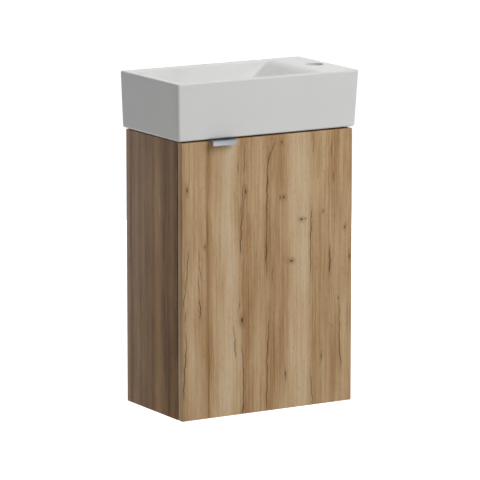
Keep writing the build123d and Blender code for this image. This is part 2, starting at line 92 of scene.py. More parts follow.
# Splits of the door's face: the half width in millimetres, then points along the split in pixels of
# the photo, read from enlarged views of it
SPLIT_LINES = (
    (0.55, (244.2, 147), (244.4, 160), (244.2, 172)),
    (0.6, (237.9, 164), (237.9, 171)),
    (0.6, (243.4, 185), (241.4, 207), (241, 220)),
    (0.55, (244, 196), (243, 212), (241.6, 226)),
    (0.9, (241.6, 222), (241, 236), (240.6, 252)),
    (0.6, (188.4, 254), (186.8, 275), (185.3, 292.5), (183.4, 306)),
    (0.5, (198.7, 252), (199.2, 264), (200.2, 275)),
    (0.5, (198.7, 281), (199, 295)),
    (0.9, (199.6, 300), (200.4, 318)),
    (0.6, (185.7, 313), (185.7, 321)),
    (0.6, (186.1, 333), (186.2, 354)),
    (1.1, (186.2, 352), (184.6, 376)),
    (0.9, (184.8, 374), (183.6, 398)),
    (0.4, (239.2, 303), (238.6, 312)),
    (0.5, (234, 327), (234.6, 343)),
    (0.8, (234.8, 340), (235.4, 355.6)),
    (0.6, (241.7, 346), (243.4, 365)),
    (0.8, (243.4, 362), (243.6, 405)),
    (1.3, (243.6, 403), (242.3, 413)),
    (0.6, (274.2, 143), (270.8, 153)),
    (0.8, (271, 152), (268.2, 162)),
    (0.6, (267.9, 158), (267.2, 178)),
    (1.2, (267.4, 176), (267, 193)),
    (0.8, (267, 190), (266.4, 220)),
    (0.5, (266.6, 216), (266.2, 246)),
    (1.2, (266.2, 244), (266.2, 262)),
    (0.6, (266.2, 258), (266.6, 273)),
    (0.5, (272.3, 269.6), (272.3, 281)),
    (0.6, (268.9, 321), (268.5, 340)),
    (0.9, (268.5, 338), (266.7, 359.5)),
    (0.6, (266.7, 359), (267.5, 375)),
    (0.7, (267.5, 375), (266.2, 405)),
    (0.6, (311.5, 210.3), (310.9, 226)),
    (1, (310.9, 224), (310.5, 240)),
    (0.7, (310.5, 238), (310.5, 271.5)),
    (0.6, (310.5, 374.7), (312.4, 403.4)),
    (0.7, (330.2, 246), (329.6, 256)),
    (1.3, (329.7, 252), (329.7, 272)),
    (0.6, (339.2, 305), (339.2, 344)),
    (0.7, (339.2, 340), (340.7, 365)),
    (0.6, (331.6, 141.5), (331.6, 155)),
    (0.5, (313.4, 133), (313.6, 151)),
    (0.6, (333, 172), (333.4, 180)),
)

# Knots of the door's face: the middle in pixels of the photo, read in the same way, then the half
# width and half length in millimetres, given
KNOT_SPOTS = (
    (187.2, 190.5, 1.6, 5),
    (245.5, 191.75, 1.8, 4.2),
    (205, 247.25, 1.2, 2.7),
    (241.9, 320.25, 2.6, 5),
    (283.8, 197.2, 2, 2.6),
    (280.3, 197.5, 1.2, 1.9),
    (281.9, 142, 1.4, 2.2),
    (301.6, 219.2, 3.2, 2.2),
    (305.6, 218.5, 1.1, 1.2),
    (291.4, 260.8, 3.4, 2.4),
    (285.3, 373.8, 1.1, 4.4),
    (323, 211, 0.9, 2.2),
    (344.6, 226.7, 1.3, 2.9),
    (338.3, 297.7, 0.9, 2.2),
    (349, 256, 1.2, 4.4),
    (321, 356, 0.8, 4.4),
)

# The planks of the decor across one board's width: place from 0 to 1, and lightness from 0 to 1
PLANKS = (
    (0.00, 0.45),
    (0.06, 0.62),
    (0.13, 0.50),
    (0.15, 0.30),
    (0.18, 0.55),
    (0.27, 0.80),
    (0.33, 0.60),
    (0.37, 0.40),
    (0.44, 0.56),
    (0.50, 0.42),
    (0.58, 0.47),
    (0.65, 0.70),
    (0.72, 0.74),
    (0.76, 0.48),
    (0.83, 0.52),
    (0.89, 0.46),
    (0.94, 0.58),
    (1.00, 0.45),
)


# Colours and nodes


def linear(colour):
    """An sRGB hex colour as linear red, green, blue and alpha."""
    parts = [int(colour[i : i + 2], 16) / 255 for i in (0, 2, 4)]
    return [c / 12.92 if c <= 0.04045 else ((c + 0.055) / 1.055) ** 2.4 for c in parts] + [1.0]


def add(tree, kind, inputs=(), stops=(), **settings):
    """Add a node with its settings, ramp stops and inputs, each a value or a link, and give its output."""
    node = tree.nodes.new("ShaderNode" + kind)
    for name, value in settings.items():
        setattr(node, name, value)
    for i, (place, colour) in enumerate(stops):
        stop = node.color_ramp.elements[i] if i < 2 else node.color_ramp.elements.new(place)
        stop.position, stop.color = place, colour
    shown = [socket for socket in node.inputs if socket.enabled]
    for key, value in dict(inputs).items():
        socket = shown[key] if isinstance(key, int) else next(s for s in shown if s.name == key)
        if isinstance(value, bpy.types.NodeSocket):
            tree.links.new(value, socket)
        else:
            socket.default_value = value
    return next(socket for socket in node.outputs if socket.enabled)


def new_material(name, **constants):
    """A material with one Principled shader, its constant numbers set on the shader itself, and the
    point on the piece, in metres, in the frame of the whole unit."""
    material = bpy.data.materials.new(name)
    material.use_nodes = True
    tree = material.node_tree
    shader = tree.nodes["Principled BSDF"]
    for key, value in constants.items():
        shader.inputs[key.replace("_", " ")].default_value = value
    tree.nodes.new("ShaderNodeTexCoord").name = "point"
    return material, tree, shader, tree.nodes["point"].outputs["Object"]


def dress(tree, shader, tone, rough=None, height=None, strength=0.0, depth=0.0):
    """Give a shader its colour, its roughness and a relief of a height pattern, with the relief's
    strength and its depth in millimetres."""
    tree.links.new(tone, shader.inputs["Base Color"])
    if rough is not None:
        tree.links.new(rough, shader.inputs["Roughness"])
    if height is not None:
        relief = {"Height": height, "Strength": strength, "Distance": depth * MM}
        tree.links.new(add(tree, "Bump", relief), shader.inputs["Normal"])


def seen_directly(tree):
    """One for rays from the camera, from mirrors and through clear pieces, nought for all others."""
    path = tree.nodes.new("ShaderNodeLightPath")
    seen = path.outputs["Is Camera Ray"]
    for other in ("Is Glossy Ray", "Is Transmission Ray"):
        seen = add(tree, "Math", {0: seen, 1: path.outputs[other]}, operation="MAXIMUM")
    return seen


def grain(tree, point, size, **inputs):
    """Noise whose grains are size long along each axis, in millimetres."""
    scale = [1 / (s * MM) for s in size]
    spread = add(tree, "Mapping", {"Vector": point, "Scale": scale})
    given = {"Vector": spread, "Scale": 1.0, "Detail": 2.0}
    given.update({key.title(): value for key, value in inputs.items()})
    return add(tree, "TexNoise", given)


def glazed_ware(name, thin, full):
    """White glaze fired on fireclay: a thick glassy coat, faintly wavy, its tone clouded between two colours.
    """
    material, tree, shader, point = new_material(name, IOR=1.5, Specular_IOR_Level=0.4)
    cloud = grain(tree, point, (70, 70, 70))
    tone = add(tree, "Mix", {"Factor": cloud, "A": linear(thin), "B": linear(full)}, data_type="RGBA")
    haze = grain(tree, point, (9, 9, 9), detail=4.0)
    rough = add(tree, "MapRange", {"Value": haze, "To Min": 0.16, "To Max": 0.26})
    wave = grain(tree, point, (14, 14, 14), detail=1.0)
    dress(tree, shader, tone, rough, wave, 0.25, 0.1)
    return material


def bare_clay(settings):
    """Fired clay without glaze, as on the underside and the wall side: chalky, warm and pitted."""
    material, tree, shader, point = new_material("unglazed_fireclay", IOR=1.5, Roughness=0.85)
    speck = grain(tree, point, (1.6, 1.6, 1.6), detail=4.0)
    tone = add(
        tree,
        "ValToRGB",
        {"Fac": speck},
        stops=((0.3, linear("B8AFA2")), (0.5, linear(settings.clay)), (0.8, linear("E6E0D6"))),
    )
    dress(tree, shader, tone, None, speck, 0.6, 0.2)
    return material


def oak_decor(name, settings, along="Z", shift=0.0, depth=0.0, knots=(), splits=False):
    """Melamine paper printed with split oak and pressed with pores: planks of changing tone, fine
    fibre, short pores, and splits with dark edges. A satin sheen lies on the flat and less in pores.
    Splits are drawn from the piece's own split attribute. Depth darkens every plank evenly; on the side
    panels this is painted shade."""
    material, tree, shader, point = new_material(name, IOR=1.5, Specular_IOR_Level=0.22)
    if along == "X":
        point = add(tree, "Mapping", {"Vector": point, "Rotation": (0, pi / 2, 0)})
    stray = grain(tree, point, (22, 22, 60), detail=2.0)
    offset = add(tree, "MapRange", {"Value": stray, "To Min": -2.5 * MM, "To Max": 2.5 * MM})
    sideways = add(tree, "CombineXYZ", {"X": offset})
    point = add(tree, "VectorMath", {0: point, 1: sideways}, operation="ADD")

    width = DECOR_WIDTH * MM
    across = tree.nodes.new("ShaderNodeVectorMath")
    across.operation = "DOT_PRODUCT"
    tree.links.new(point, across.inputs[0])
    across.inputs[1].default_value = (1 / width, DECOR_SLANT / width, 0)
    place = add(tree, "Math", {0: across.outputs["Value"], 1: 0.5 + shift / width}, operation="ADD")
    place = add(tree, "Math", {0: place}, operation="FRACT")
    planks = [(at, (light, light, light, 1.0)) for at, light in PLANKS]
    light = add(tree, "ValToRGB", {"Fac": place}, stops=planks)
    # Depth lowers the lightness of the whole decor; the side panels' depth of 0.36 is painted shade.
    light = add(tree, "Math", {0: light, 1: depth}, operation="SUBTRACT")

    cloud = grain(tree, point, (26, 26, 150), detail=3.0)
    rings = grain(tree, point, (3.5, 3.5, 260), detail=4.0, roughness=0.6)
    fibre = grain(tree, point, (1.1, 1.1, 42), detail=3.0, roughness=0.65)
    for pattern, weight in ((cloud, 0.55), (rings, 0.6), (fibre, 0.42)):
        part = add(tree, "Math", {0: pattern, 1: weight, 2: -weight / 2}, operation="MULTIPLY_ADD")
        light = add(tree, "Math", {0: light, 1: part}, operation="ADD")
    tone = add(
        tree,
        "ValToRGB",
        {"Fac": light},
        stops=(
            (0.0, linear(settings.oak_dark)),
            (0.35, linear(settings.oak_brown)),
            (0.65, linear(settings.oak_straw)),
            (1.0, linear(settings.oak_cream)),
        ),
    )

    dash = grain(tree, point, (0.7, 0.7, 9), detail=1.0)
    pore = add(tree, "MapRange", {"Value": dash, "From Min": 0.63, "From Max": 0.72, "To Max": 0.35})
    split = pore
    nearest = None
    for x, z, half, length in knots:
        place = {"Vector": point, "Location": (x * MM, 0, z * MM)}
        place["Scale"] = (half * MM, 1000, length * MM)
        local = add(tree, "Mapping", place, vector_type="TEXTURE")
        away = add(tree, "VectorMath", {0: local}, operation="LENGTH")
        if nearest is not None:
            away = add(tree, "Math", {0: nearest, 1: away}, operation="MINIMUM")
        nearest = away
    if knots:
        for near, far, most in ((0.6, 1.5, 0.85), (1.0, 4.5, 0.3)):
            fade = {"Value": nearest, "From Min": far, "From Max": near, "To Max": most}
            spot = add(tree, "MapRange", fade, interpolation_type="SMOOTHSTEP")
            split = add(tree, "Math", {0: split, 1: spot}, operation="MAXIMUM")
    if splits:
        drawn = tree.nodes.new("ShaderNodeAttribute")
        drawn.attribute_name = "split"
        split = add(tree, "Math", {0: split, 1: drawn.outputs["Fac"]}, operation="MAXIMUM")
    colour = add(
        tree,
        "Mix",
        {"Factor": split, "A": tone, "B": linear(settings.oak_split)},
        data_type="RGBA",
    )
    rough = add(tree, "MapRange", {"Value": split, "To Min": 0.46, "To Max": 0.72})
    height = add(tree, "Math", {0: fibre, 1: split}, operation="SUBTRACT")
    dress(tree, shader, colour, rough, height, 0.35, 0.12)
    return material


def raw_chipboard(settings):
    """Sawn edge of chipboard: flat chips of several tones with resin-dark joints between them."""
    material, tree, shader, point = new_material("sawn_chipboard", IOR=1.5, Roughness=0.9)
    spread = add(tree, "Mapping", {"Vector": point, "Scale": (600, 600, 420)})
    chips = tree.nodes.new("ShaderNodeTexVoronoi")
    tree.links.new(spread, chips.inputs["Vector"])
    chips.inputs["Scale"].default_value = 1.0
    tone = add(
        tree,
        "ValToRGB",
        {"Fac": chips.outputs["Color"]},
        stops=((0.1, linear("8A6B47")), (0.5, linear(settings.chip)), (0.9, linear("D8BE93"))),
    )
    dress(tree, shader, tone, None, chips.outputs["Distance"], 0.7, 0.3)
    return material


def hardboard(settings):
    """Thin fibreboard: hard pressed brown fibre with a soft uneven tone and a slight sheen."""
    material, tree, shader, point = new_material("pressed_fibreboard", IOR=1.5, Roughness=0.6)
    fleck = grain(tree, point, (2.2, 2.2, 2.2), detail=5.0, roughness=0.7)
    tone = add(
        tree,
        "ValToRGB",
        {"Fac": fleck},
        stops=((0.25, linear("7B6248")), (0.55, linear(settings.fibre)), (0.8, linear("B79A76"))),
    )
    dress(tree, shader, tone, None, fleck, 0.4, 0.1)
    return material


def brushed_metal(settings):
    """Anodised aluminium brushed along the strip: bright, with fine lines that stretch highlights."""
    material, tree, shader, point = new_material("brushed_anodised_aluminium", Metallic=1.0)
    lines = grain(tree, point, (30, 0.35, 0.35), detail=3.0, roughness=0.7)
    tone = add(
        tree,
        "Mix",
        {"Factor": lines, "A": linear("8F949B"), "B": linear(settings.handle)},
        data_type="RGBA",
    )
    rough = add(tree, "MapRange", {"Value": lines, "To Min": 0.22, "To Max": 0.4})
    dress(tree, shader, tone, rough, lines, 0.2, 0.03)
    return material


def plated_steel(name, colour, dull):
    """Pressed steel with a thin plated coat: cool and bright, clouded by handling and fine scuffs."""
    material, tree, shader, point = new_material(name, Metallic=1.0)
    cloud = grain(tree, point, (11, 11, 11), detail=4.0)
    scuff = grain(tree, point, (0.6, 6, 0.6), detail=3.0, roughness=0.7)
    tone = add(tree, "Mix", {"Factor": cloud, "A": linear(dull), "B": linear(colour)}, data_type="RGBA")
    both = add(tree, "Math", {0: cloud, 1: scuff}, operation="MULTIPLY")
    rough = add(tree, "MapRange", {"Value": both, "From Max": 0.5, "To Min": 0.2, "To Max": 0.48})
    dress(tree, shader, tone, rough, scuff, 0.15, 0.02)
    return material


def moulded_plastic(settings):
    """Grey polypropylene from a spark-eroded mould: a fine even texture and a soft waxy sheen."""
    material, tree, shader, point = new_material("moulded_grey_polypropylene", IOR=1.49)
    texture = grain(tree, point, (0.5, 0.5, 0.5), detail=2.0)
    flow = grain(tree, point, (18, 18, 18))
    tone = add(
        tree,
        "Mix",
        {"Factor": flow, "A": linear("A9ABAB"), "B": linear(settings.plastic)},
        data_type="RGBA",
    )
    rough = add(tree, "MapRange", {"Value": texture, "To Min": 0.42, "To Max": 0.6})
    dress(tree, shader, tone, rough, texture, 0.25, 0.05)
    return material


def clear_rubber():
    """Cast clear polyurethane: see-through with a slight milky haze and tiny bubbles."""
    material, tree, shader, point = new_material("cast_clear_polyurethane", IOR=1.49)
    shader.inputs["Transmission Weight"].default_value = 0.85
    haze = grain(tree, point, (1.5, 1.5, 1.5), detail=3.0)
    tone = add(
        tree,
        "Mix",
        {"Factor": haze, "A": linear("DDE1E1"), "B": linear("F2F5F5")},
        data_type="RGBA",
    )
    rough = add(tree, "MapRange", {"Value": haze, "To Min": 0.12, "To Max": 0.3})
    dress(tree, shader, tone, rough)
    return material


# Meshes


def finish_piece(mesh_object, body, slot, *nodes):
    """Put a piece into the scene on its body and in place of its CAD nodes; the slot is not used."""
    bpy.context.scene.collection.objects.link(mesh_object)
    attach(mesh_object, body)
    if nodes:
        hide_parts(*nodes)
    return mesh_object


def box_of(node):
    """The low and high corners of a CAD node's box, in millimetres."""
    return [np.array(corner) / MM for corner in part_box(node)]


def clean_mesh(name, build, tidy_flat):
    """Join coincident corners of a mesh, merge its flat triangles if asked, and face it outwards."""
    bm = bmesh.new()
    build(bm)
    bmesh.ops.remove_doubles(bm, verts=bm.verts, dist=0.002 * MM)
    bmesh.ops.dissolve_degenerate(bm, edges=bm.edges, dist=0.001 * MM)
    if tidy_flat:
        bmesh.ops.dissolve_limit(
            bm, angle_limit=radians(0.5), verts=bm.verts, edges=bm.edges, delimit={"MATERIAL"}
        )
    bmesh.ops.recalc_face_normals(bm, faces=bm.faces)
    mesh = bpy.data.meshes.new(name)
    bm.to_mesh(mesh)
    bm.free()
    mesh.shade_smooth()
    return mesh


def eased_copy(name, nodes, materials, ease, steps=2, pick=None):
    """Copies of CAD nodes as one piece: corners joined, flats merged, then every sharp edge rounded
    to the ease radius in steps. Pick gives the material of each face from its centre and normal."""

    def build(bm):
        for node in nodes:
            bm.from_mesh(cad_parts[node].data)

    mesh = clean_mesh(name, build, True)
    for material in materials:
        mesh.materials.append(material)
    count = len(mesh.polygons)
    index = np.zeros(count, np.int32)
    if pick:
        centre, normal = np.zeros(3 * count), np.zeros(3 * count)
        mesh.polygons.foreach_get("center", centre)
        mesh.polygons.foreach_get("normal", normal)
        index = pick(centre.reshape(-1, 3) / MM, normal.reshape(-1, 3)).astype(np.int32)
    mesh.polygons.foreach_set("material_index", index)
    piece = bpy.data.objects.new(name, mesh)
    bevel = piece.modifiers.new("eased edges", "BEVEL")
    bevel.width = ease
    bevel.segments = steps
    bevel.limit_method = "ANGLE"
    bevel.angle_limit = radians(38)
    bevel.harden_normals = True
    return piece


def sheets_piece(name, sheets, materials, fill=None):
    """One closed mesh from point grids in millimetres, each with a material number. A grid's quads
    join its neighbouring points, a missing point leaves a window, and grids that share border points
    are joined there. Borders left open in one plane are closed by a flat face with their holes left
    out, in the fill material."""
    points, quads, index, first = [], [], [], 0
    for grid, material in sheets:
        rows, columns = grid.shape[:2]
        number = first + np.arange(rows * columns).reshape(rows, columns)
        corners = [number[:-1, :-1], number[1:, :-1], number[1:, 1:], number[:-1, 1:]]
        faces = np.stack(corners, -1).reshape(-1, 4)
        points.append(grid.reshape(-1, 3))
        quads.append(faces)
        index.append(np.full(len(faces), material))
        first += rows * columns
    points, quads, index = np.concatenate(points), np.concatenate(quads), np.concatenate(index)
    whole = ~np.isnan(points[quads]).any((1, 2))
    used, quads = np.unique(quads[whole], return_inverse=True)
    points, quads, index = points[used], quads.reshape(-1, 4), index[whole]

    def build(bm):
        rough = bpy.data.meshes.new(name + " grids")
        rough.from_pydata(points * MM, [], quads)
        rough.polygons.foreach_set("material_index", index.astype(np.int32))
        bm.from_mesh(rough)
        bpy.data.meshes.remove(rough)
        if fill is not None:
            bmesh.ops.remove_doubles(bm, verts=bm.verts, dist=0.002 * MM)
            border = [edge for edge in bm.edges if edge.is_boundary]
            flat = bmesh.ops.triangle_fill(bm, edges=border, use_beauty=True)
            for face in flat["geom"]:
                if isinstance(face, bmesh.types.BMFace):
                    face.material_index = fill

    mesh = clean_mesh(name, build, False)
    for material in materials:
        mesh.materials.append(material)
    return bpy.data.objects.new(name, mesh)


def placed(grid, centre, axis):
    """A grid made about the Z axis, turned to stand along another axis, at a centre."""
    ways = {"X": (1, 2, 0), "Y": (2, 0, 1), "Z": (0, 1, 2)}[axis[-1]]
    out = np.zeros_like(grid)
    out[..., ways] = grid * (1, 1, -1 if axis[0] == "-" else 1)
    return out + np.array(centre, float)


def turned(profile, centre, axis, around=32):
    """A profile of radius and height spun about an axis: each point goes round a circle of its
    radius, at its height along the axis from the centre. The ends close where the radius is nil."""
    angle = np.linspace(0, 2 * pi, around + 1)
    radius, height = np.array(profile, float).T
    x, y = radius[:, None] * np.cos(angle), radius[:, None] * np.sin(angle)
    return placed(np.stack([x, y, height[:, None] + 0 * x], -1), centre, axis)


def driven_head(centre, axis, radius, height, reach, crown=0.5, sunk=0.8, around=36):
    """A screw or cam head with a cross recess. Its height over the disc is a flat crown that falls
    to the rim as the fourth power of the radius, less the recess depth wherever the point lies in
    one of two crossed bars. The rim goes down to the seat, where the disc closes."""
    share = np.concatenate([np.linspace(0, 0.86, 12), [0.92, 0.97, 1.0]])
    angle = np.linspace(0, 2 * pi, around + 1)
    x, y = share[:, None] * np.cos(angle), share[:, None] * np.sin(angle)
    wide, long, soft = 0.17, reach, 0.07

    def inside(value, limit):
        return np.clip((limit - np.abs(value)) / soft + 0.5, 0, 1)

    cross = np.maximum(inside(x, wide) * inside(y, long), inside(y, wide) * inside(x, long))
    level = height * (1 - crown * share[:, None] ** 4) - sunk * height * cross
    top = np.stack([radius * x, radius * y, level], -1)
    rim = turned([(radius, height * (1 - crown)), (radius, 0), (0, 0)], (0, 0, 0), "Z", around)
    return [placed(grid, centre, axis) for grid in (top, rim)]


def fine_lines(low, high, centres, reach, fine, coarse):
    """Grid lines from low to high: the spacing is fine within reach of a centre, else coarse. The
    lines are the places where the running count of spacings passes whole numbers."""
    dense = np.linspace(low, high, 20001)
    near = np.abs(dense[:, None] - np.array(centres)).min(1) < reach
    count = np.concatenate([[0], np.cumsum(np.diff(dense) / np.where(near, fine, coarse)[:-1])])
    return np.interp(np.linspace(0, count[-1], int(count[-1]) + 2), count, dense)


def place_on_door(pixel_x, pixel_y):
    """Where a pixel of the photo lies on the door's face, as x and z in millimetres: the line of
    sight through the pixel is followed from the camera to the plane of the face."""
    fall, turn = radians(90 - CAMERA_PITCH), radians(-CAMERA_YAW)
    ahead = np.array([sin(turn) * cos(fall), cos(turn) * cos(fall), -sin(fall)])
    right = np.array([cos(turn), -sin(turn), 0.0])
    focal = LENS / SENSOR * PHOTO_SIDE
    across, down = (pixel_x - PHOTO_SIDE / 2) / focal, (pixel_y - PHOTO_SIDE / 2) / focal
    sight = ahead + right * across - np.cross(right, ahead) * down
    reach = (-DOOR_FRONT * MM - CAMERA_PLACE[1]) / sight[1]
    return [(CAMERA_PLACE[i] + reach * sight[i]) / MM for i in (0, 2)]


def door_splits():
    """Every straight stretch of the split lines as x, z, half width, half length and lean, each
    rounded to a tenth but the half width. A stretch is drawn 12% longer than it was read, and 10%
    more in a line of several, so that they overlap."""
    splits = []
    for half, *pixels in SPLIT_LINES:
        line = [place_on_door(*pixel) for pixel in pixels]
        overlap = 1.1 if len(line) > 2 else 1
        for (x0, z0), (x1, z1) in zip(line, line[1:]):
            length = max(1.12 * hypot(x1 - x0, z1 - z0) / 2, half) * overlap
            lean = degrees(atan2(x0 - x1, z0 - z1))
            x, z = round((x0 + x1) / 2, 1), round((z0 + z1) / 2, 1)
            splits.append((x, z, half, round(length, 1), round(lean, 1)))
    return np.array(splits)


def door_knots():
    """The knots as x, z, half width and half length."""
    return [
        (*(round(value, 1) for value in place_on_door(x, y)), half, length)
        for x, y, half, length in KNOT_SPOTS
    ]


def split_depth(points, splits):
    """How deep in a split each point of the door's face lies, from 0 to 1: the smallest distance to
    a split's centre, in half widths across and half lengths along, softened at its edge."""
    x, z, half, length, lean = splits.T[:, :, None]
    lean = np.radians(lean)
    wander = 0.7 * np.sin(points[:, 2] / 5.3) + 0.5 * np.sin(points[:, 2] / 2.1 + points[:, 0] / 9)
    right, up = points[:, 0] + wander - x, points[:, 2] - z
    across = (right * np.cos(lean) - up * np.sin(lean)) / half
    along = (right * np.sin(lean) + up * np.cos(lean)) / length
    near = np.sqrt(across**2 + along**4).min(0)
    line = np.clip((1.5 - near) / 0.9, 0, 1)
    halo = 0.2 * np.clip((5 - near) / 4, 0, 1) ** 2
    return np.maximum(0.9 * line * line * (3 - 2 * line), halo)


def door_board(materials, ease):
    """The door: a fine flat grid in front, a quarter round of the ease radius along all its edges,
    sides a board thick, and a flat back with the two bores, each a disc spun down to its depth."""
    low, high = box_of("door")
    splits = door_splits()
    x = fine_lines(low[0] + ease, high[0] - ease, splits[:, 0], 3.0, 0.55, 3.0)
    z = fine_lines(low[2] + ease, high[2] - ease, [0], 0, 5.0, 5.0)
    across, up = np.meshgrid(x, z)
    face = np.stack([across, np.full_like(across, low[1]), up], -1)

    rim = np.concatenate([face[0, :-1], face[:-1, -1], face[-1, :0:-1], face[::-1, 0]])
    out = np.zeros_like(rim)
    out[:, 0] = (rim[:, 0] == x[-1]) * 1.0 - (rim[:, 0] == x[0])
    out[:, 2] = (rim[:, 2] == z[-1]) * 1.0 - (rim[:, 2] == z[0])
    turn = np.linspace(0, pi / 2, 5)
    steps = [(ease * np.sin(t), ease * (1 - np.cos(t))) for t in turn]
    deep = high[1] - low[1]
    steps += [(reach, deep - back) for reach, back in reversed(steps)]
    side = np.array([rim + out * reach + np.array([0, back, 0]) for reach, back in steps])

    sheets = [(face, 0), (side, 1)]
    for hinge in HINGES:
        cup_low, cup_high = box_of(f"{hinge}_hinge_cup")
        radius, depth = CUP_BORE_RADIUS, high[1] - cup_low[1] + 0.1
        centre = (cup_high[0] - 19, high[1], (cup_low[2] + cup_high[2]) / 2)
        bore = [(radius, 0), (radius, -depth), (0, -depth)]
        sheets.append((turned(bore, centre, "Y", 48), 2))
    piece = sheets_piece("door_board", sheets, materials, fill=1)
    points = np.zeros(3 * len(piece.data.vertices))
    piece.data.vertices.foreach_get("co", points)
    points = points.reshape(-1, 3) / MM
    depth = split_depth(points, splits) * (points[:, 1] < low[1] + 0.01)
    drawn = piece.data.attributes.new("split", "FLOAT", "POINT")
    drawn.data.foreach_set("value", depth.astype(np.float32))
    piece.data.set_sharp_from_angle(angle=radians(50))
    return piece


def rounded_line(corners, radii, steps=8):
    """A line through corners with each inner one rounded: its arc starts and ends where the radius
    touches both runs, at radius times the tangent of half the turn from the corner."""
    corners = np.array(corners, float)
    line = [corners[:1]]
    for before, corner, after, radius in zip(corners, corners[1:], corners[2:], radii):
        back = (before - corner) / np.linalg.norm(before - corner)
        ahead = (after - corner) / np.linalg.norm(after - corner)
        half = np.arccos(np.clip(back @ ahead, -1, 1)) / 2
        centre = corner + (back + ahead) / np.linalg.norm(back + ahead) * radius / np.sin(half)
        start, end = (corner + way * radius / np.tan(half) - centre for way in (back, ahead))
        share = np.linspace(0, 1, steps + 1)[:, None]
        sweep = pi - 2 * half
        arc = np.sin(sweep * (1 - share)) * start + np.sin(sweep * share) * end
        line.append(centre + arc / np.sin(sweep))
    return np.concatenate(line + [corners[-1:]])


def open_window(sheet, rows, columns, centre, radius):
    """Cut a round hole into a sheet: the points inside the window of rows and columns go, and a
    second sheet blends evenly from the window's border to a circle, whose points keep its height."""
    (top, bottom), (left, right) = rows, columns
    window = sheet[top : bottom + 1, left : right + 1]
    border = np.concatenate(
        [window[:-1, 0], window[-1, :-1], window[:0:-1, -1], window[0, ::-1], window[:1, 0]]
    )[: 2 * (bottom - top + right - left) + 1]
    turn = np.linspace(0, 2 * pi, len(border))
    first = -3 * pi / 4
    circle = np.array(border)
    circle[:, 0] = centre[0] + radius * np.cos(first + turn)
    circle[:, 1] = centre[1] + radius * np.sin(first + turn)
    circle[-1] = circle[0]
    sheet[top + 1 : bottom, left + 1 : right] = np.nan
    share = np.linspace(0, 1, 6)[:, None, None]
    return border * (1 - share) + circle * share


def down_hole(circle, centre, profile):
    """A round passage below a circle of points: the circle scaled about its centre to each radius
    of the profile, at each of its heights."""
    radius = np.linalg.norm(circle[0, :2] - centre)
    rows = []
    for r, z in profile:
        row = np.array(circle)
        row[:, :2] = centre + (circle[:, :2] - centre) * r / radius
        row[:, 2] = z
        rows.append(row)
    return np.array(rows)


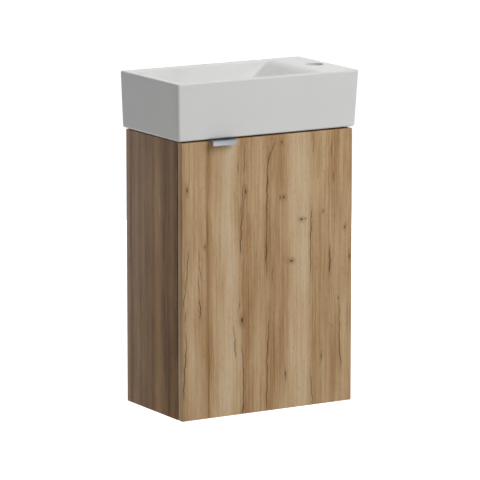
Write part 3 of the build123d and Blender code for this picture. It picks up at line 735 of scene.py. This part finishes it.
class BasinForm:
    """The basin's surfaces as point grids in millimetres. Across the bowl they follow stations along
    its length, around it they follow a loop from the ledge round the front, left and rear sides."""

    def __init__(self, details):
        low, high = box_of("basin")
        self.half, self.front, self.top = BASIN_WIDTH / 2, -BASIN_DEPTH, high[2]
        self.ring_foot = low[2]
        self.foot = low[2] + 3
        self.rim_in, self.rim_out = details.rim_inner / MM, details.rim_outer / MM
        self.wall, self.depth, self.draft = 13.0, 84.0, radians(4)
        self.crease, self.foot_round, self.corner = 7.0, 12.0, 7.0
        self.middle = self.front / 2
        self.ledge = self.half - 67
        self.cells = 12
        self.around = 8
        self.floor_line()
        self.stations()

    def floor_line(self):
        """The floor's height along the bowl: flat, up the ramp, over a round shoulder to the ledge."""
        slope, fall = radians(38.8), radians(3)
        reach = 40 * np.tan((slope - fall) / 2)
        shoulder = (self.ledge - reach * np.cos(fall), self.top - reach * np.sin(fall))
        floor = self.top - self.depth
        foot = (shoulder[0] - (shoulder[1] - floor) / np.tan(slope), floor)
        start = (-self.half, floor)
        line = rounded_line([start, foot, shoulder, (self.ledge, self.top)], (30, 39.99), 12)
        self.floor_x, self.floor_z = line.T
        self.under_line = (
            [-self.half, foot[0] + 3.3, shoulder[0] + 5.4, self.half],
            [self.foot + 12, self.foot + 12, self.top - 13, self.top - 13],
        )
        self.ramp_foot = foot[0]

    def section(self, drop, crease, count=(7, 5, 9)):
        """Offsets inwards and heights down a bowl wall: a convex round, a drafted run and a concave
        round. Where the wall is lower than both rounds, they meet at the slope that fits between."""
        turns = self.rim_in + crease
        slope = np.arccos(np.clip(1 - drop / turns, np.sin(self.draft), 1))
        run = np.maximum(drop - turns * (1 - np.cos(slope)), 0)
        share = [np.linspace(0, 1, n)[:, None] for n in count]
        upper = slope * share[0]
        lower = slope * (1 - share[2])
        start = -self.rim_in * np.tan(slope / 2)
        run_in = run * np.tan(self.draft)
        offset = np.concatenate(
            [
                start + self.rim_in * np.sin(upper),
                start + self.rim_in * np.sin(slope) + run_in * share[1][1:-1],
                start
                + self.rim_in * np.sin(slope)
                + run_in
                + crease * (np.sin(slope) - np.sin(lower)),
            ]
        )
        fallen = np.concatenate(
            [
                self.rim_in * (1 - np.cos(upper)),
                self.rim_in * (1 - np.cos(slope)) + run * share[1][1:-1],
                drop - crease * (1 - np.cos(lower)),
            ]
        )
        round_left = np.concatenate(
            [np.ones(count[0] + count[1] - 2), np.sin(pi / 2 * (1 - share[2][:, 0]))]
        )
        return offset, fallen, round_left

    def stations(self):
        """Where the stations stand along the unit, and how the lines share the width of the bowl."""
        offset = self.section(np.array([self.depth]), self.foot_round)[0][-1, 0]
        left = self.wall - self.half + offset
        drain = (left - offset + self.ramp_foot) / 2
        self.drain = np.array([drain, self.middle])
        self.tap = np.array([self.half - 33.5, self.middle])
        edge = self.ramp_foot
        cells = self.cells + 1
        near_ledge = self.ledge - 24 * np.linspace(1, 0, 15) ** 2
        parts = [
            np.linspace(left, drain - 37, 6),
            np.linspace(drain - 37, drain + 37, cells),
            np.linspace(drain + 37, edge - 10.6, 5),
            np.linspace(edge - 10.6, edge + 8.3, 9),
            np.linspace(edge + 8.3, self.ledge - 24, 9),
            near_ledge,
        ]
        self.bowl_x = np.unique(np.concatenate(parts).round(6))
        right = self.half - self.rim_out
        parts = [
            np.linspace(self.ledge, self.tap[0] - 24, 4),
            np.linspace(self.tap[0] - 24, self.tap[0] + 24, cells),
            np.linspace(self.tap[0] + 24, right, 4),
        ]
        self.deck_x = np.unique(np.concatenate(parts).round(6))
        self.all_x = np.concatenate([self.bowl_x, self.deck_x[1:]])
        gap = 0.2813
        parts = [np.linspace(0, gap, 6), np.linspace(gap, 1 - gap, cells), np.linspace(1 - gap, 1, 6)]
        self.share = np.unique(np.concatenate(parts).round(9))
        self.window = (5, 5 + self.cells)

    def loop(self, xs, left, right, front, back, round_front, height):
        """A closed loop round the unit: the front from right to left, the left side, the rear and
        the right side, with quarter circles at the corners. Rear corners are square."""
        turn = np.linspace(0, pi / 2, self.around + 1)
        sides = front + round_front + self.share * (back - front - round_front)
        arc_in = round_front * (1 - np.sin(turn))
        arc_on = round_front * (1 - np.cos(turn))
        square = np.zeros_like(turn)
        x = [xs[::-1], left + arc_in, left + 0 * sides, left + square, xs]
        x += [right + square, right + 0 * sides, right - arc_in[::-1]]
        y = [front + 0 * xs, front + arc_on, sides, back + square, back + 0 * xs]
        y += [back + square, sides[::-1], front + arc_on[::-1]]
        x, y = np.concatenate(x), np.concatenate(y)
        return np.stack([x, y, height + 0 * x], -1)

    def outer_rows(self):
        """Loops from the deck's edge over the rim, down the drafted walls, round the foot and over
        the foot ring into the recess under the basin."""
        rows = []
        side, face = np.tan(radians(2.4)), np.tan(radians(3.2))
        rim, turn = self.rim_out, np.linspace(0, pi / 2, 7)
        levels = [(rim * (1 - np.sin(t)), rim * (1 - np.cos(t)), np.sin(t)) for t in turn]
        tall = self.top - self.foot
        levels += [(0, rim + (tall - rim - 4) * share, 1) for share in (0.03, 0.5, 0.97, 1)]
        levels += [(4 * (1 - np.cos(t)), tall - 4 + 4 * np.sin(t), 1) for t in turn[1:]]
        for inset, down, rounded in levels:
            half = self.half - inset - down * side
            radius = 5 * rounded
            xs = np.interp(
                self.all_x,
                [self.all_x[0], self.ledge, self.all_x[-1]],
                [radius - half, self.ledge, half - radius],
            )
            front = self.front + inset + down * face
            rows.append(self.loop(xs, -half, half, front, 0.0, radius, self.top - down))
        skin = np.array(rows)
        under = [(185, -192, -24, self.foot), (185, -192, -24, self.ring_foot)]
        under += [(177, -184, -32, self.ring_foot), (177, -184, -32, self.foot + 12)]
        ring = [
            self.loop(self.under_x(half, half), -half, half, front, back, 0.0, z)
            for half, front, back, z in under
        ]
        return skin, np.array([rows[-1]] + ring)

    def under_x(self, left, right):
        """The stations as they stand on the underside, set round its two round passages."""
        x, drain = self.all_x, self.drain[0]
        keys = [x[0], drain - 37, drain + 37, self.ramp_foot, self.ledge]
        keys += [self.tap[0] - 24, self.tap[0] + 24, x[-1]]
        ends = [self.ledge, self.tap[0] - 19, self.tap[0] + 19, 187]
        ends = [self.ledge + (end - self.ledge) * (right - self.ledge) / 54 for end in ends]
        return np.interp(x, keys, [-left, drain - 30, drain + 30, self.under_line[0][1]] + ends)

    def wall_rows(self):
        """The bowl's walls from the deck to the floor, along the front, left and rear sides, and the
        deck strip outside them. Corner rounds shrink to a point at the floor."""
        floor = np.interp(self.bowl_x, self.floor_x, self.floor_z)
        long_in, long_down, fade = self.section(self.top - floor[::-1], self.crease)
        end_in, end_down = self.section(np.array([self.depth]), self.foot_round)[:2]
        end_in, end_down = end_in[:, 0], end_down[:, 0]
        corner_in, corner_down = long_in[:, -1], long_down[:, -1]
        radius = np.where(fade == 1, self.corner - np.minimum(corner_in, 0), self.corner * fade)
        turn = np.linspace(0, pi / 2, self.around + 1)
        front, back, left = self.front + self.wall, -self.wall, self.wall - self.half
        fixed = self.bowl_x[5]
        rows = []
        for k, r in enumerate(radius):
            xs = np.array(self.bowl_x)
            near = xs < fixed
            start = left + end_in[k] + r
            xs[near] = fixed - (fixed - xs[near]) * (fixed - start) / (fixed - self.bowl_x[0])
            blend = np.linspace(0, 1, self.around + 1)
            arc_z = self.top - corner_down[k] * (1 - blend) - end_down[k] * blend
            near_y, far_y = front + corner_in[k], back - corner_in[k]
            sides = near_y + r + self.share * (far_y - near_y - 2 * r)
            arc_in, arc_on = r * (1 - np.sin(turn)), r * (1 - np.cos(turn))
            side_x = left + end_in[k]
            x = [xs[::-1], side_x + arc_in, side_x + 0 * sides, side_x + arc_in[::-1], xs]
            y = [front + long_in[k], near_y + arc_on, sides, far_y - arc_on[::-1]]
            y += [(back - long_in[k])[::-1]]
            z = [self.top - long_down[k], arc_z, self.top - end_down[k] + 0 * sides]
            z += [arc_z[::-1], (self.top - long_down[k])[::-1]]
            rows.append(np.stack([np.concatenate(part) for part in (x, y, z)], -1))
        return np.array(rows)

    def floor_sheet(self):
        """The floor and ramp: stations along the bowl, lines spread evenly between the two creases."""
        z = np.interp(self.bowl_x, self.floor_x, self.floor_z)
        offset = self.section(self.top - z, self.crease)[0][-1]
        low, high = self.front + self.wall + offset, -self.wall - offset
        y = low[:, None] + self.share * (high - low)[:, None]
        return np.stack([self.bowl_x[:, None] + 0 * y, y, z[:, None] + 0 * y], -1)

    def deck_sheet(self):
        """The flat ledge: its lines spread from the bowl's width to the full depth of the unit."""
        t = (self.deck_x - self.ledge) / (self.deck_x[-1] - self.ledge)
        low = self.front + self.wall - (self.wall - self.rim_out) * t
        high = -self.wall * (1 - t)
        y = low[:, None] + self.share * (high - low)[:, None]
        return np.stack([self.deck_x[:, None] + 0 * y, y, self.top + 0 * y], -1)

    def under_sheets(self):
        """The recess and the tap's hollow under the basin: at each station up a drafted wall, across
        the ceiling and down again, and the hollow's end wall."""
        xs = self.under_x(177, 187)
        low_xs = self.under_x(177, 177)
        z = np.interp(xs, *self.under_line)
        base, ceiling = self.under_line[1][0], self.under_line[1][-1]
        t = (z - base) / (ceiling - base)
        front, back = -184 - 19 * t, -32 + 15 * t
        y = front[:, None] + self.share * (back - front)[:, None]
        sheet = np.stack([xs[:, None] + 0 * y, y, z[:, None] + 0 * y], -1)
        walls = []
        for edge, foot in ((sheet[:, 0], -184), (sheet[:, -1], -32)):
            low = np.stack([low_xs, foot + 0 * xs, base + 0 * xs], -1)
            walls.append(np.array([low, (low + edge) / 2, edge]))
        low_end = np.stack([177 + 0 * self.share, -184 + 152 * self.share, base + 0 * self.share], -1)
        walls.append(np.array([low_end, (low_end + sheet[-1]) / 2, sheet[-1]]))
        return sheet, walls

    def sheets(self):
        """Every surface with its material: 0 outer glaze, 1 bare clay, 2 bowl glaze with painted light."""
        skin, ring = self.outer_rows()
        wall = self.wall_rows()
        count = len(self.all_x)
        skip = count - len(self.bowl_x)
        edge = skin[0]
        strip = edge[skip : skip + wall.shape[1]]
        share = np.array([0, 0.5, 1])[:, None, None]
        strip = strip * (1 - share) + wall[0] * share

        floor, deck = self.floor_sheet(), self.deck_sheet()
        wedges = []
        for line, y in ((deck[:, 0], self.front + self.rim_out), (deck[:, -1], 0.0)):
            outer = np.array(line)
            outer[:, 1] = y
            wedges.append((outer * (1 - share) + line * share, 0))
        under, hollow = self.under_sheets()
        window = self.window
        first = len(self.bowl_x) - 1 + 3
        seat = open_window(floor, (5, 5 + self.cells), window, self.drain, 33.3)
        drain = open_window(under, (5, 5 + self.cells), window, self.drain, 23)
        hole = open_window(deck, (3, 3 + self.cells), window, self.tap, 18.3)
        below = open_window(under, (first, first + self.cells), window, self.tap, 17.5)
        z = self.top - self.depth
        seat_line = [(33.3, z), (32.74, z - 0.23), (32.5, z - 0.8), (32.5, z - 2.2), (31.7, z - 3)]
        seat_line += [(23.8, z - 3), (23.23, z - 3.23), (23, z - 3.8), (23, self.foot + 12)]
        tap_line = [(18.3, self.top), (17.74, self.top - 0.23), (17.5, self.top - 0.8)]
        tap_line += [(17.5, self.top - 13)]
        return (
            [(skin, 0), (ring, 1), (wall, 2), (strip, 0), (floor, 2), (deck, 0), (under, 1)]
            + wedges
            + [(sheet, 1) for sheet in hollow]
            + [(seat, 2), (drain, 1), (hole, 0), (below, 1)]
            + [(down_hole(seat[-1], self.drain, seat_line), 2)]
            + [(down_hole(hole[-1], self.tap, tap_line), 0)]
        )


def heads_piece(name, heads, material, body, slot):
    """Screw heads joined into one piece."""
    sheets = [(grid, 0) for head in heads for grid in head]
    return finish_piece(sheets_piece(name, sheets, [material]), body, slot)


def middle(node, *axes):
    """The middle of a CAD node's box along the axes named, in millimetres."""
    low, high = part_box(node)
    return [(low["XYZ".index(a)] + high["XYZ".index(a)]) / 2 / MM for a in axes]


# Settings


class VanityFinishes(bpy.types.PropertyGroup):
    """Colours of the unit's finishes, as sRGB hex."""

    glaze_full: bpy.props.StringProperty(
        name="Glaze", description="Glaze where it lies thick", default="E9EAE8"
    )
    glaze_thin: bpy.props.StringProperty(
        name="Thin glaze", description="Glaze where it lies thin", default="E4E5E3"
    )
    # Painted light: the bowl's glaze is set lighter than the outer glaze for the brighter light in the bowl,
    # not for thicker glaze.
    glaze_bowl_painted_light: bpy.props.StringProperty(
        name="Bowl glaze, painted light", description="Glaze in the bowl, lighter as painted light", default="FAFBF9"
    )
    clay: bpy.props.StringProperty(name="Clay", description="Bare fired clay", default="D6CEC2")
    oak_cream: bpy.props.StringProperty(
        name="Oak, cream", description="Lightest planks of the decor", default="E2CDAE"
    )
    oak_straw: bpy.props.StringProperty(
        name="Oak, straw", description="Light planks of the decor", default="CFB088"
    )
    oak_brown: bpy.props.StringProperty(
        name="Oak, brown", description="Brown planks of the decor", default="AB8459"
    )
    oak_dark: bpy.props.StringProperty(
        name="Oak, dark", description="Darkest streaks of the decor", default="6C4A2A"
    )
    oak_split: bpy.props.StringProperty(
        name="Oak, splits", description="Splits, knots and pores of the decor", default="4A3120"
    )
    chip: bpy.props.StringProperty(
        name="Chipboard", description="Raw chipboard edges", default="B89768"
    )
    fibre: bpy.props.StringProperty(name="Fibreboard", description="Thin back panel", default="9A7D5C")
    handle: bpy.props.StringProperty(
        name="Handle", description="Brushed handle strip", default="AEB2B8"
    )
    plastic: bpy.props.StringProperty(
        name="Plastic", description="Hanger housings and covers", default="BFC1C1"
    )


class VanityDetails(bpy.types.PropertyGroup):
    """Sizes of the details that the CAD model leaves plain."""

    rim_inner: bpy.props.FloatProperty(
        name="Bowl rim", description="Round at the bowl's edge", default=2.6 * MM, unit="LENGTH"
    )
    rim_outer: bpy.props.FloatProperty(
        name="Outer rim", description="Round at the outer edge", default=3.0 * MM, unit="LENGTH"
    )
    board_ease: bpy.props.FloatProperty(
        name="Board edges", description="Radius of the edge bands", default=0.8 * MM, unit="LENGTH"
    )
    metal_ease: bpy.props.FloatProperty(
        name="Metal edges", description="Radius of pressed edges", default=0.25 * MM, unit="LENGTH"
    )
    plastic_ease: bpy.props.FloatProperty(
        name="Plastic edges", description="Radius of moulded edges", default=0.4 * MM, unit="LENGTH"
    )
    screw_radius: bpy.props.FloatProperty(
        name="Screw heads", description="Radius of the small screws", default=3.6 * MM, unit="LENGTH"
    )
    cam_radius: bpy.props.FloatProperty(
        name="Cam locks", description="Radius of the cam locks", default=7.5 * MM, unit="LENGTH"
    )


class VanityStudio(bpy.types.PropertyGroup):
    """The camera and the lights."""

    lens: bpy.props.FloatProperty(
        name="Lens", description="Focal length of the long lens", default=LENS, unit="CAMERA"
    )
    camera_place: bpy.props.FloatVectorProperty(
        name="Camera place",
        description="Where the camera stands, in the unit's frame",
        default=CAMERA_PLACE,
        subtype="TRANSLATION",
    )
    camera_pitch: bpy.props.FloatProperty(
        name="Pitch", description="Turn up from straight down", default=radians(CAMERA_PITCH), unit="ROTATION"
    )
    camera_yaw: bpy.props.FloatProperty(
        name="Yaw", description="Turn about the vertical", default=radians(CAMERA_YAW), unit="ROTATION"
    )
    floor_drop: bpy.props.FloatProperty(
        name="Floor", description="Floor below the wall screws", default=0.70, unit="LENGTH"
    )
    ambient: bpy.props.FloatProperty(name="Ambient", description="Light from all around", default=0.2)
    key: bpy.props.FloatProperty(
        name="Key lamp", description="Power of the lamp in front", default=41.0, unit="POWER"
    )
    overhead: bpy.props.FloatProperty(
        name="Overhead lamp", description="Power of the lamp above", default=14.0, unit="POWER"
    )
    rear: bpy.props.FloatProperty(
        name="Rear lamp", description="Power of the lamp behind", default=24.0, unit="POWER"
    )


# Operators


class VANITY_OT_stage(bpy.types.Operator):
    """Pale floor, white surroundings, soft lamps and the camera"""

    bl_idname = "vanity.stage"
    bl_label = "Studio"

    def execute(self, context):
        studio = context.scene.vanity_studio
        scene = context.scene
        scene.view_settings.view_transform = "Standard"

        world = bpy.data.worlds.new("white studio")
        scene.world = world
        world.use_nodes = True
        tree = world.node_tree
        strength = add(
            tree, "MapRange", {"Value": seen_directly(tree), "To Min": studio.ambient, "To Max": 1.0}
        )
        background = tree.nodes["Background"]
        background.inputs["Color"].default_value = linear("FFFFFF")
        tree.links.new(strength, background.inputs["Strength"])

        half = 8.0
        corners = [(-half, -half), (half, -half), (half, half), (-half, half)]
        mesh = bpy.data.meshes.new("floor")
        mesh.from_pydata([(x, y, -studio.floor_drop) for x, y in corners], [], [(0, 1, 2, 3)])
        floor = bpy.data.objects.new("floor", mesh)
        scene.collection.objects.link(floor)
        mesh.materials.append(studio_floor())

        self.lamp("key", studio.key, (0.9, -2.3, 1.7), 1.7)
        self.lamp("overhead", studio.overhead, (-0.1, -0.4, 2.6), 1.4)
        self.lamp("rear", studio.rear, (1.0, 2.8, 0.1), 1.6)

        data = bpy.data.cameras.new("camera")
        data.lens = studio.lens
        data.sensor_width = SENSOR
        camera = bpy.data.objects.new("camera", data)
        camera.location = studio.camera_place
        camera.rotation_euler = (studio.camera_pitch, 0, studio.camera_yaw)
        scene.collection.objects.link(camera)
        scene.camera = camera
        return {"FINISHED"}

    def lamp(self, name, power, place, size):
        """A square soft lamp that faces the middle of the unit. Glazes and metals mirror the white
        surroundings alone, so that no lamp burns out the basin's deck."""
        data = bpy.data.lights.new(name, "AREA")
        data.energy = power
        data.size = size
        lamp = bpy.data.objects.new(name, data)
        lamp.visible_glossy = False
        lamp.location = place
        centre = (np.array(CAD_BOX[0]) + np.array(CAD_BOX[1])) / 2
        towards = lamp.location - type(lamp.location)(centre)
        lamp.rotation_euler = towards.to_track_quat("Z", "Y").to_euler()
        bpy.context.scene.collection.objects.link(lamp)


def studio_floor():
    """Matt painted floor that shows white to the camera with a faint shadow left in it."""
    material, tree, shader, point = new_material("matt_white_floor", Roughness=1.0)
    mottle = grain(tree, point, (300, 300, 300))
    tone = add(
        tree,
        "Mix",
        {"Factor": mottle, "A": linear("EDEDED"), "B": linear("F1F1F1")},
        data_type="RGBA",
    )
    dress(tree, shader, tone)
    bright = add(tree, "Math", {0: seen_directly(tree), 1: 0.84}, operation="MULTIPLY")
    glow = add(tree, "Emission", {"Color": linear("FFFFFF"), "Strength": bright})
    both = add(tree, "AddShader", {0: shader.outputs["BSDF"], 1: glow})
    below = tree.nodes.new("ShaderNodeNewGeometry").outputs["Backfacing"]
    clear = add(tree, "BsdfTransparent")
    shown = add(tree, "MixShader", {0: below, 1: both, 2: clear})
    tree.links.new(shown, tree.nodes["Material Output"].inputs["Surface"])
    return material


class VANITY_OT_basin(bpy.types.Operator):
    """Glazed basin with rounded rims, bare clay under it and at the wall"""

    bl_idname = "vanity.basin"
    bl_label = "Basin"

    def execute(self, context):
        finishes = context.scene.vanity_finishes
        outer = glazed_ware("fired_white_glaze", finishes.glaze_thin, finishes.glaze_full)
        # Painted light: the bowl's glaze is a lighter copy of the outer glaze, for the brighter light inside
        # the bowl.
        inner = glazed_ware("bowl_white_glaze_painted_light", finishes.glaze_full, finishes.glaze_bowl_painted_light)
        form = BasinForm(context.scene.vanity_details)
        piece = sheets_piece("basin_ware", form.sheets(), [outer, bare_clay(finishes), inner])
        mesh = piece.data
        mesh.set_sharp_from_angle(angle=radians(40))
        centre = np.zeros(3 * len(mesh.polygons))
        mesh.polygons.foreach_get("center", centre)
        index = np.zeros(len(mesh.polygons), np.int32)
        mesh.polygons.foreach_get("material_index", index)
        index[centre.reshape(-1, 3)[:, 1] > -0.01 * MM] = 1
        mesh.polygons.foreach_set("material_index", index)
        finish_piece(piece, "cabinet", "white_glaze", "basin")
        return {"FINISHED"}


class VANITY_OT_boards(bpy.types.Operator):
    """Carcass boards in oak decor with banded front edges and sawn rear edges"""

    bl_idname = "vanity.boards"
    bl_label = "Carcass boards"

    def execute(self, context):
        finishes, details = context.scene.vanity_finishes, context.scene.vanity_details
        sawn = raw_chipboard(finishes)
        # Painted shade: the upright decor of the side panels is darkened by 0.36, for the shade on the unit's
        # sides. The level decor is darkened by 0.1.
        upright = oak_decor("pressed_oak_decor_upright_painted_shade", finishes, "Z", 0.09, 0.36)
        level = oak_decor("pressed_oak_decor_level", finishes, "X", 0.21, 0.1)
        for node, decor in (
            ("side_panel_left", upright),
            ("side_panel_right", upright),
            ("bottom_panel", level),
            ("front_top_rail", level),
            ("rear_top_rail", level),
            ("shelf", level),
        ):
            low, high = box_of(node)

            def pick(centre, normal, low=low, high=high, node=node):
                near = np.minimum(np.abs(centre - low), np.abs(centre - high)).min(1) < 0.05
                rear = (np.abs(centre[:, 1] - high[1]) < 0.05) & (normal[:, 1] > 0.9)
                return ~near | rear & (node != "rear_top_rail")

            name = node + "_board"
            piece = eased_copy(name, [node], [decor, sawn], details.board_ease, 2, pick)
            finish_piece(piece, "cabinet", "oak_decor", node)

        board = hardboard(finishes)
        piece = eased_copy("back_panel_board", ["back_panel"], [board], 0.2 * MM, 1)
        finish_piece(piece, "cabinet", "back_board", "back_panel")
        return {"FINISHED"}


class VANITY_OT_door(bpy.types.Operator):
    """Door with split-oak decor, edge bands and bored hinge seats"""

    bl_idname = "vanity.door"
    bl_label = "Door"

    def execute(self, context):
        finishes, details = context.scene.vanity_finishes, context.scene.vanity_details
        face = oak_decor(
            "pressed_oak_decor_door", finishes, "Z", DECOR_SLANT * DOOR_FRONT * MM, 0, door_knots(), True
        )
        band = oak_decor("oak_edge_band", finishes, "Z", DECOR_SLANT * DOOR_FRONT * MM)
        sawn = raw_chipboard(finishes)
        piece = door_board([face, band, sawn], details.board_ease / MM)
        finish_piece(piece, "door", "oak_decor", "door")

        clear = clear_rubber()
        sheets = []
        bumper_low, bumper_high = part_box("door_bumpers")
        x = (bumper_low[0] + bumper_high[0]) / 2 / MM
        radius = (bumper_high[0] - bumper_low[0]) / 2 / MM
        tall = (bumper_high[1] - bumper_low[1]) / MM
        for z in (bumper_high[2] / MM - radius, bumper_low[2] / MM + radius):
            turn = np.linspace(0, pi / 2, 10)
            dome = [(radius * np.cos(t) ** 0.5, tall * (0.3 + 0.7 * np.sin(t))) for t in turn]
            profile = [(0, 0), (radius * 0.97, 0)] + dome[:-1] + [(0, tall)]
            sheets.append((turned(profile, (x, bumper_low[1] / MM, z), "Y"), 0))
        finish_piece(
            sheets_piece("door_bumper_domes", sheets, [clear]), "door", "clear_bumper", "door_bumpers"
        )
        return {"FINISHED"}


class VANITY_OT_handle(bpy.types.Operator):
    """Brushed edge pull with its two screws"""

    bl_idname = "vanity.handle"
    bl_label = "Handle"

    def execute(self, context):
        finishes, details = context.scene.vanity_finishes, context.scene.vanity_details
        metal = brushed_metal(finishes)
        piece = eased_copy("handle_strip", ["handle"], [metal], details.metal_ease, 2)
        finish_piece(piece, "door", "handle_metal", "handle")
        steel = plated_steel("nickel_plated_screws", "C9C6BE", "9B9891")
        low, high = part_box("handle")
        rear = high[1] / MM
        centre = (low[0] + high[0]) / 2 / MM
        heads = [driven_head((centre + way * 16, rear, 36), "Y", 3.2, 1.4, 0.6) for way in (-1, 1)]
        heads_piece("handle_screw_heads", heads, steel, "door", "plated_steel")
        return {"FINISHED"}


class VANITY_OT_hinges(bpy.types.Operator):
    """Nickel-plated cup hinges with their screws"""

    bl_idname = "vanity.hinges"
    bl_label = "Hinges"

    def execute(self, context):
        details = context.scene.vanity_details
        steel = plated_steel("nickel_plated_steel", "CFCCC4", "A3A098")
        small = details.metal_ease
        for level in HINGES:
            for part, body in (
                ("arm", "cabinet"),
                ("plate", "cabinet"),
                ("cup", "door"),
                ("outer_link", "outer_links"),
                ("inner_link", "inner_links"),
            ):
                node = f"{level}_hinge_{part}"
                piece = eased_copy(node + "_pressing", [node], [steel], small, 1)
                finish_piece(piece, body, "plated_steel", node)
            (z,) = middle(f"{level}_hinge_cup", "Z")
            radius = details.screw_radius / MM
            cup = [driven_head((160.5, -197.1, z + way * 24), "Y", radius, 1.3, 0.6) for way in (-1, 1)]
            heads_piece(f"{level}_hinge_cup_screws", cup, steel, "door", "plated_steel")
            plate = [
                driven_head((170.5, -161, z + way * 16), "-X", radius, 1.6, 0.6)
                for way in (-1, 1)
            ]
            plate += [
                driven_head((163.5, -158, z), "-X", 2.6, 1.0, 0.65),
                driven_head((163.5, -146, z), "-X", 3.0, 1.2, 0.65),
            ]
            heads_piece(f"{level}_hinge_arm_screws", plate, steel, "cabinet", "plated_steel")
        return {"FINISHED"}


class VANITY_OT_fixings(bpy.types.Operator):
    """Cam locks and shelf pins"""

    bl_idname = "vanity.fixings"
    bl_label = "Cams and pins"

    def execute(self, context):
        details = context.scene.vanity_details
        zinc = plated_steel("zinc_plated_steel", "C4C8CC", "94989C")
        radius = details.cam_radius / MM
        places = [((x, y, -489), "-Z") for x in (-149, 149) for y in (-164, -50)]
        places += [((x, -161, 29), "-Z") for x in (-149, 149)]
        places += [((x, -36, -8), "-Y") for x in (-149, 149)]
        heads = [driven_head(place, axis, radius, 0.45, 0.55, 0.3, 0.9) for place, axis in places]
        heads_piece("cam_lock_heads", heads, zinc, "cabinet", "plated_steel")

        low, high = box_of("shelf_pins")
        pin = (high[2] - low[2]) / 2
        sheets = []
        for way in (-1, 1):
            for y in (low[1] + pin, high[1] - pin):
                profile = [
                    (0, 0),
                    (pin - 0.5, 0),
                    (pin, 0.5),
                    (pin, 8),
                    (pin + 0.9, 8.1),
                    (pin + 0.9, 8.9),
                    (pin, 9),
                    (pin, 14.4),
                    (pin - 0.6, 15),
                    (0, 15),
                ]
                centre = (way * high[0], y, low[2] + pin)
                sheets.append((turned(profile, centre, "-X" if way > 0 else "X"), 0))
        finish_piece(
            sheets_piece("turned_shelf_pins", sheets, [zinc]), "cabinet", "plated_steel", "shelf_pins"
        )
        return {"FINISHED"}


class VANITY_OT_hangers(bpy.types.Operator):
    """Cabinet hangers with their covers, hooks and wall plates"""

    bl_idname = "vanity.hangers"
    bl_label = "Hangers"

    def execute(self, context):
        finishes, details = context.scene.vanity_finishes, context.scene.vanity_details
        plastic = moulded_plastic(finishes)
        zinc = plated_steel("zinc_passivated_steel", "C6C8C6", "979B9B")
        for side in SIDES:
            for part, material, slot, ease in (
                ("wall_plate", zinc, "plated_steel", details.metal_ease),
                ("hanger_hook", zinc, "plated_steel", details.metal_ease),
                ("hanger_body", plastic, "grey_plastic", details.plastic_ease),
                ("hanger_cover", plastic, "grey_plastic", details.plastic_ease),
            ):
                node = f"{side}_{part}"
                piece = eased_copy(node + "_shaped", [node], [material], ease, 2)
                finish_piece(piece, "cabinet", slot, node)
        return {"FINISHED"}


class VANITY_PT_panel(bpy.types.Panel):
    """Lists the steps and their settings"""

    bl_label = "Vanity unit"
    bl_idname = "VANITY_PT_panel"
    bl_space_type = "VIEW_3D"
    bl_region_type = "UI"
    bl_category = "Vanity"

    def draw(self, context):
        for step in STEPS:
            self.layout.operator(step.bl_idname)
        for group in ("vanity_finishes", "vanity_details", "vanity_studio"):
            settings = getattr(context.scene, group)
            column = self.layout.column(align=True)
            for name in settings.bl_rna.properties.keys():
                if name not in ("rna_type", "name"):
                    column.prop(settings, name)


STEPS = (
    VANITY_OT_stage,
    VANITY_OT_basin,
    VANITY_OT_boards,
    VANITY_OT_door,
    VANITY_OT_handle,
    VANITY_OT_hinges,
    VANITY_OT_fixings,
    VANITY_OT_hangers,
)
GROUPS = {
    "vanity_finishes": VanityFinishes,
    "vanity_details": VanityDetails,
    "vanity_studio": VanityStudio,
}


def register():
    for cls in (*GROUPS.values(), *STEPS, VANITY_PT_panel):
        bpy.utils.register_class(cls)
    for name, group in GROUPS.items():
        setattr(bpy.types.Scene, name, bpy.props.PointerProperty(type=group))


def unregister():
    for name in GROUPS:
        delattr(bpy.types.Scene, name)
    for cls in (VANITY_PT_panel, *reversed(STEPS), *reversed(GROUPS.values())):
        bpy.utils.unregister_class(cls)


def main():
    """Build every piece in order."""
    register()
    for step in STEPS:
        family, name = step.bl_idname.split(".")
        getattr(getattr(bpy.ops, family), name)()


if __name__ == "__main__":
    main()
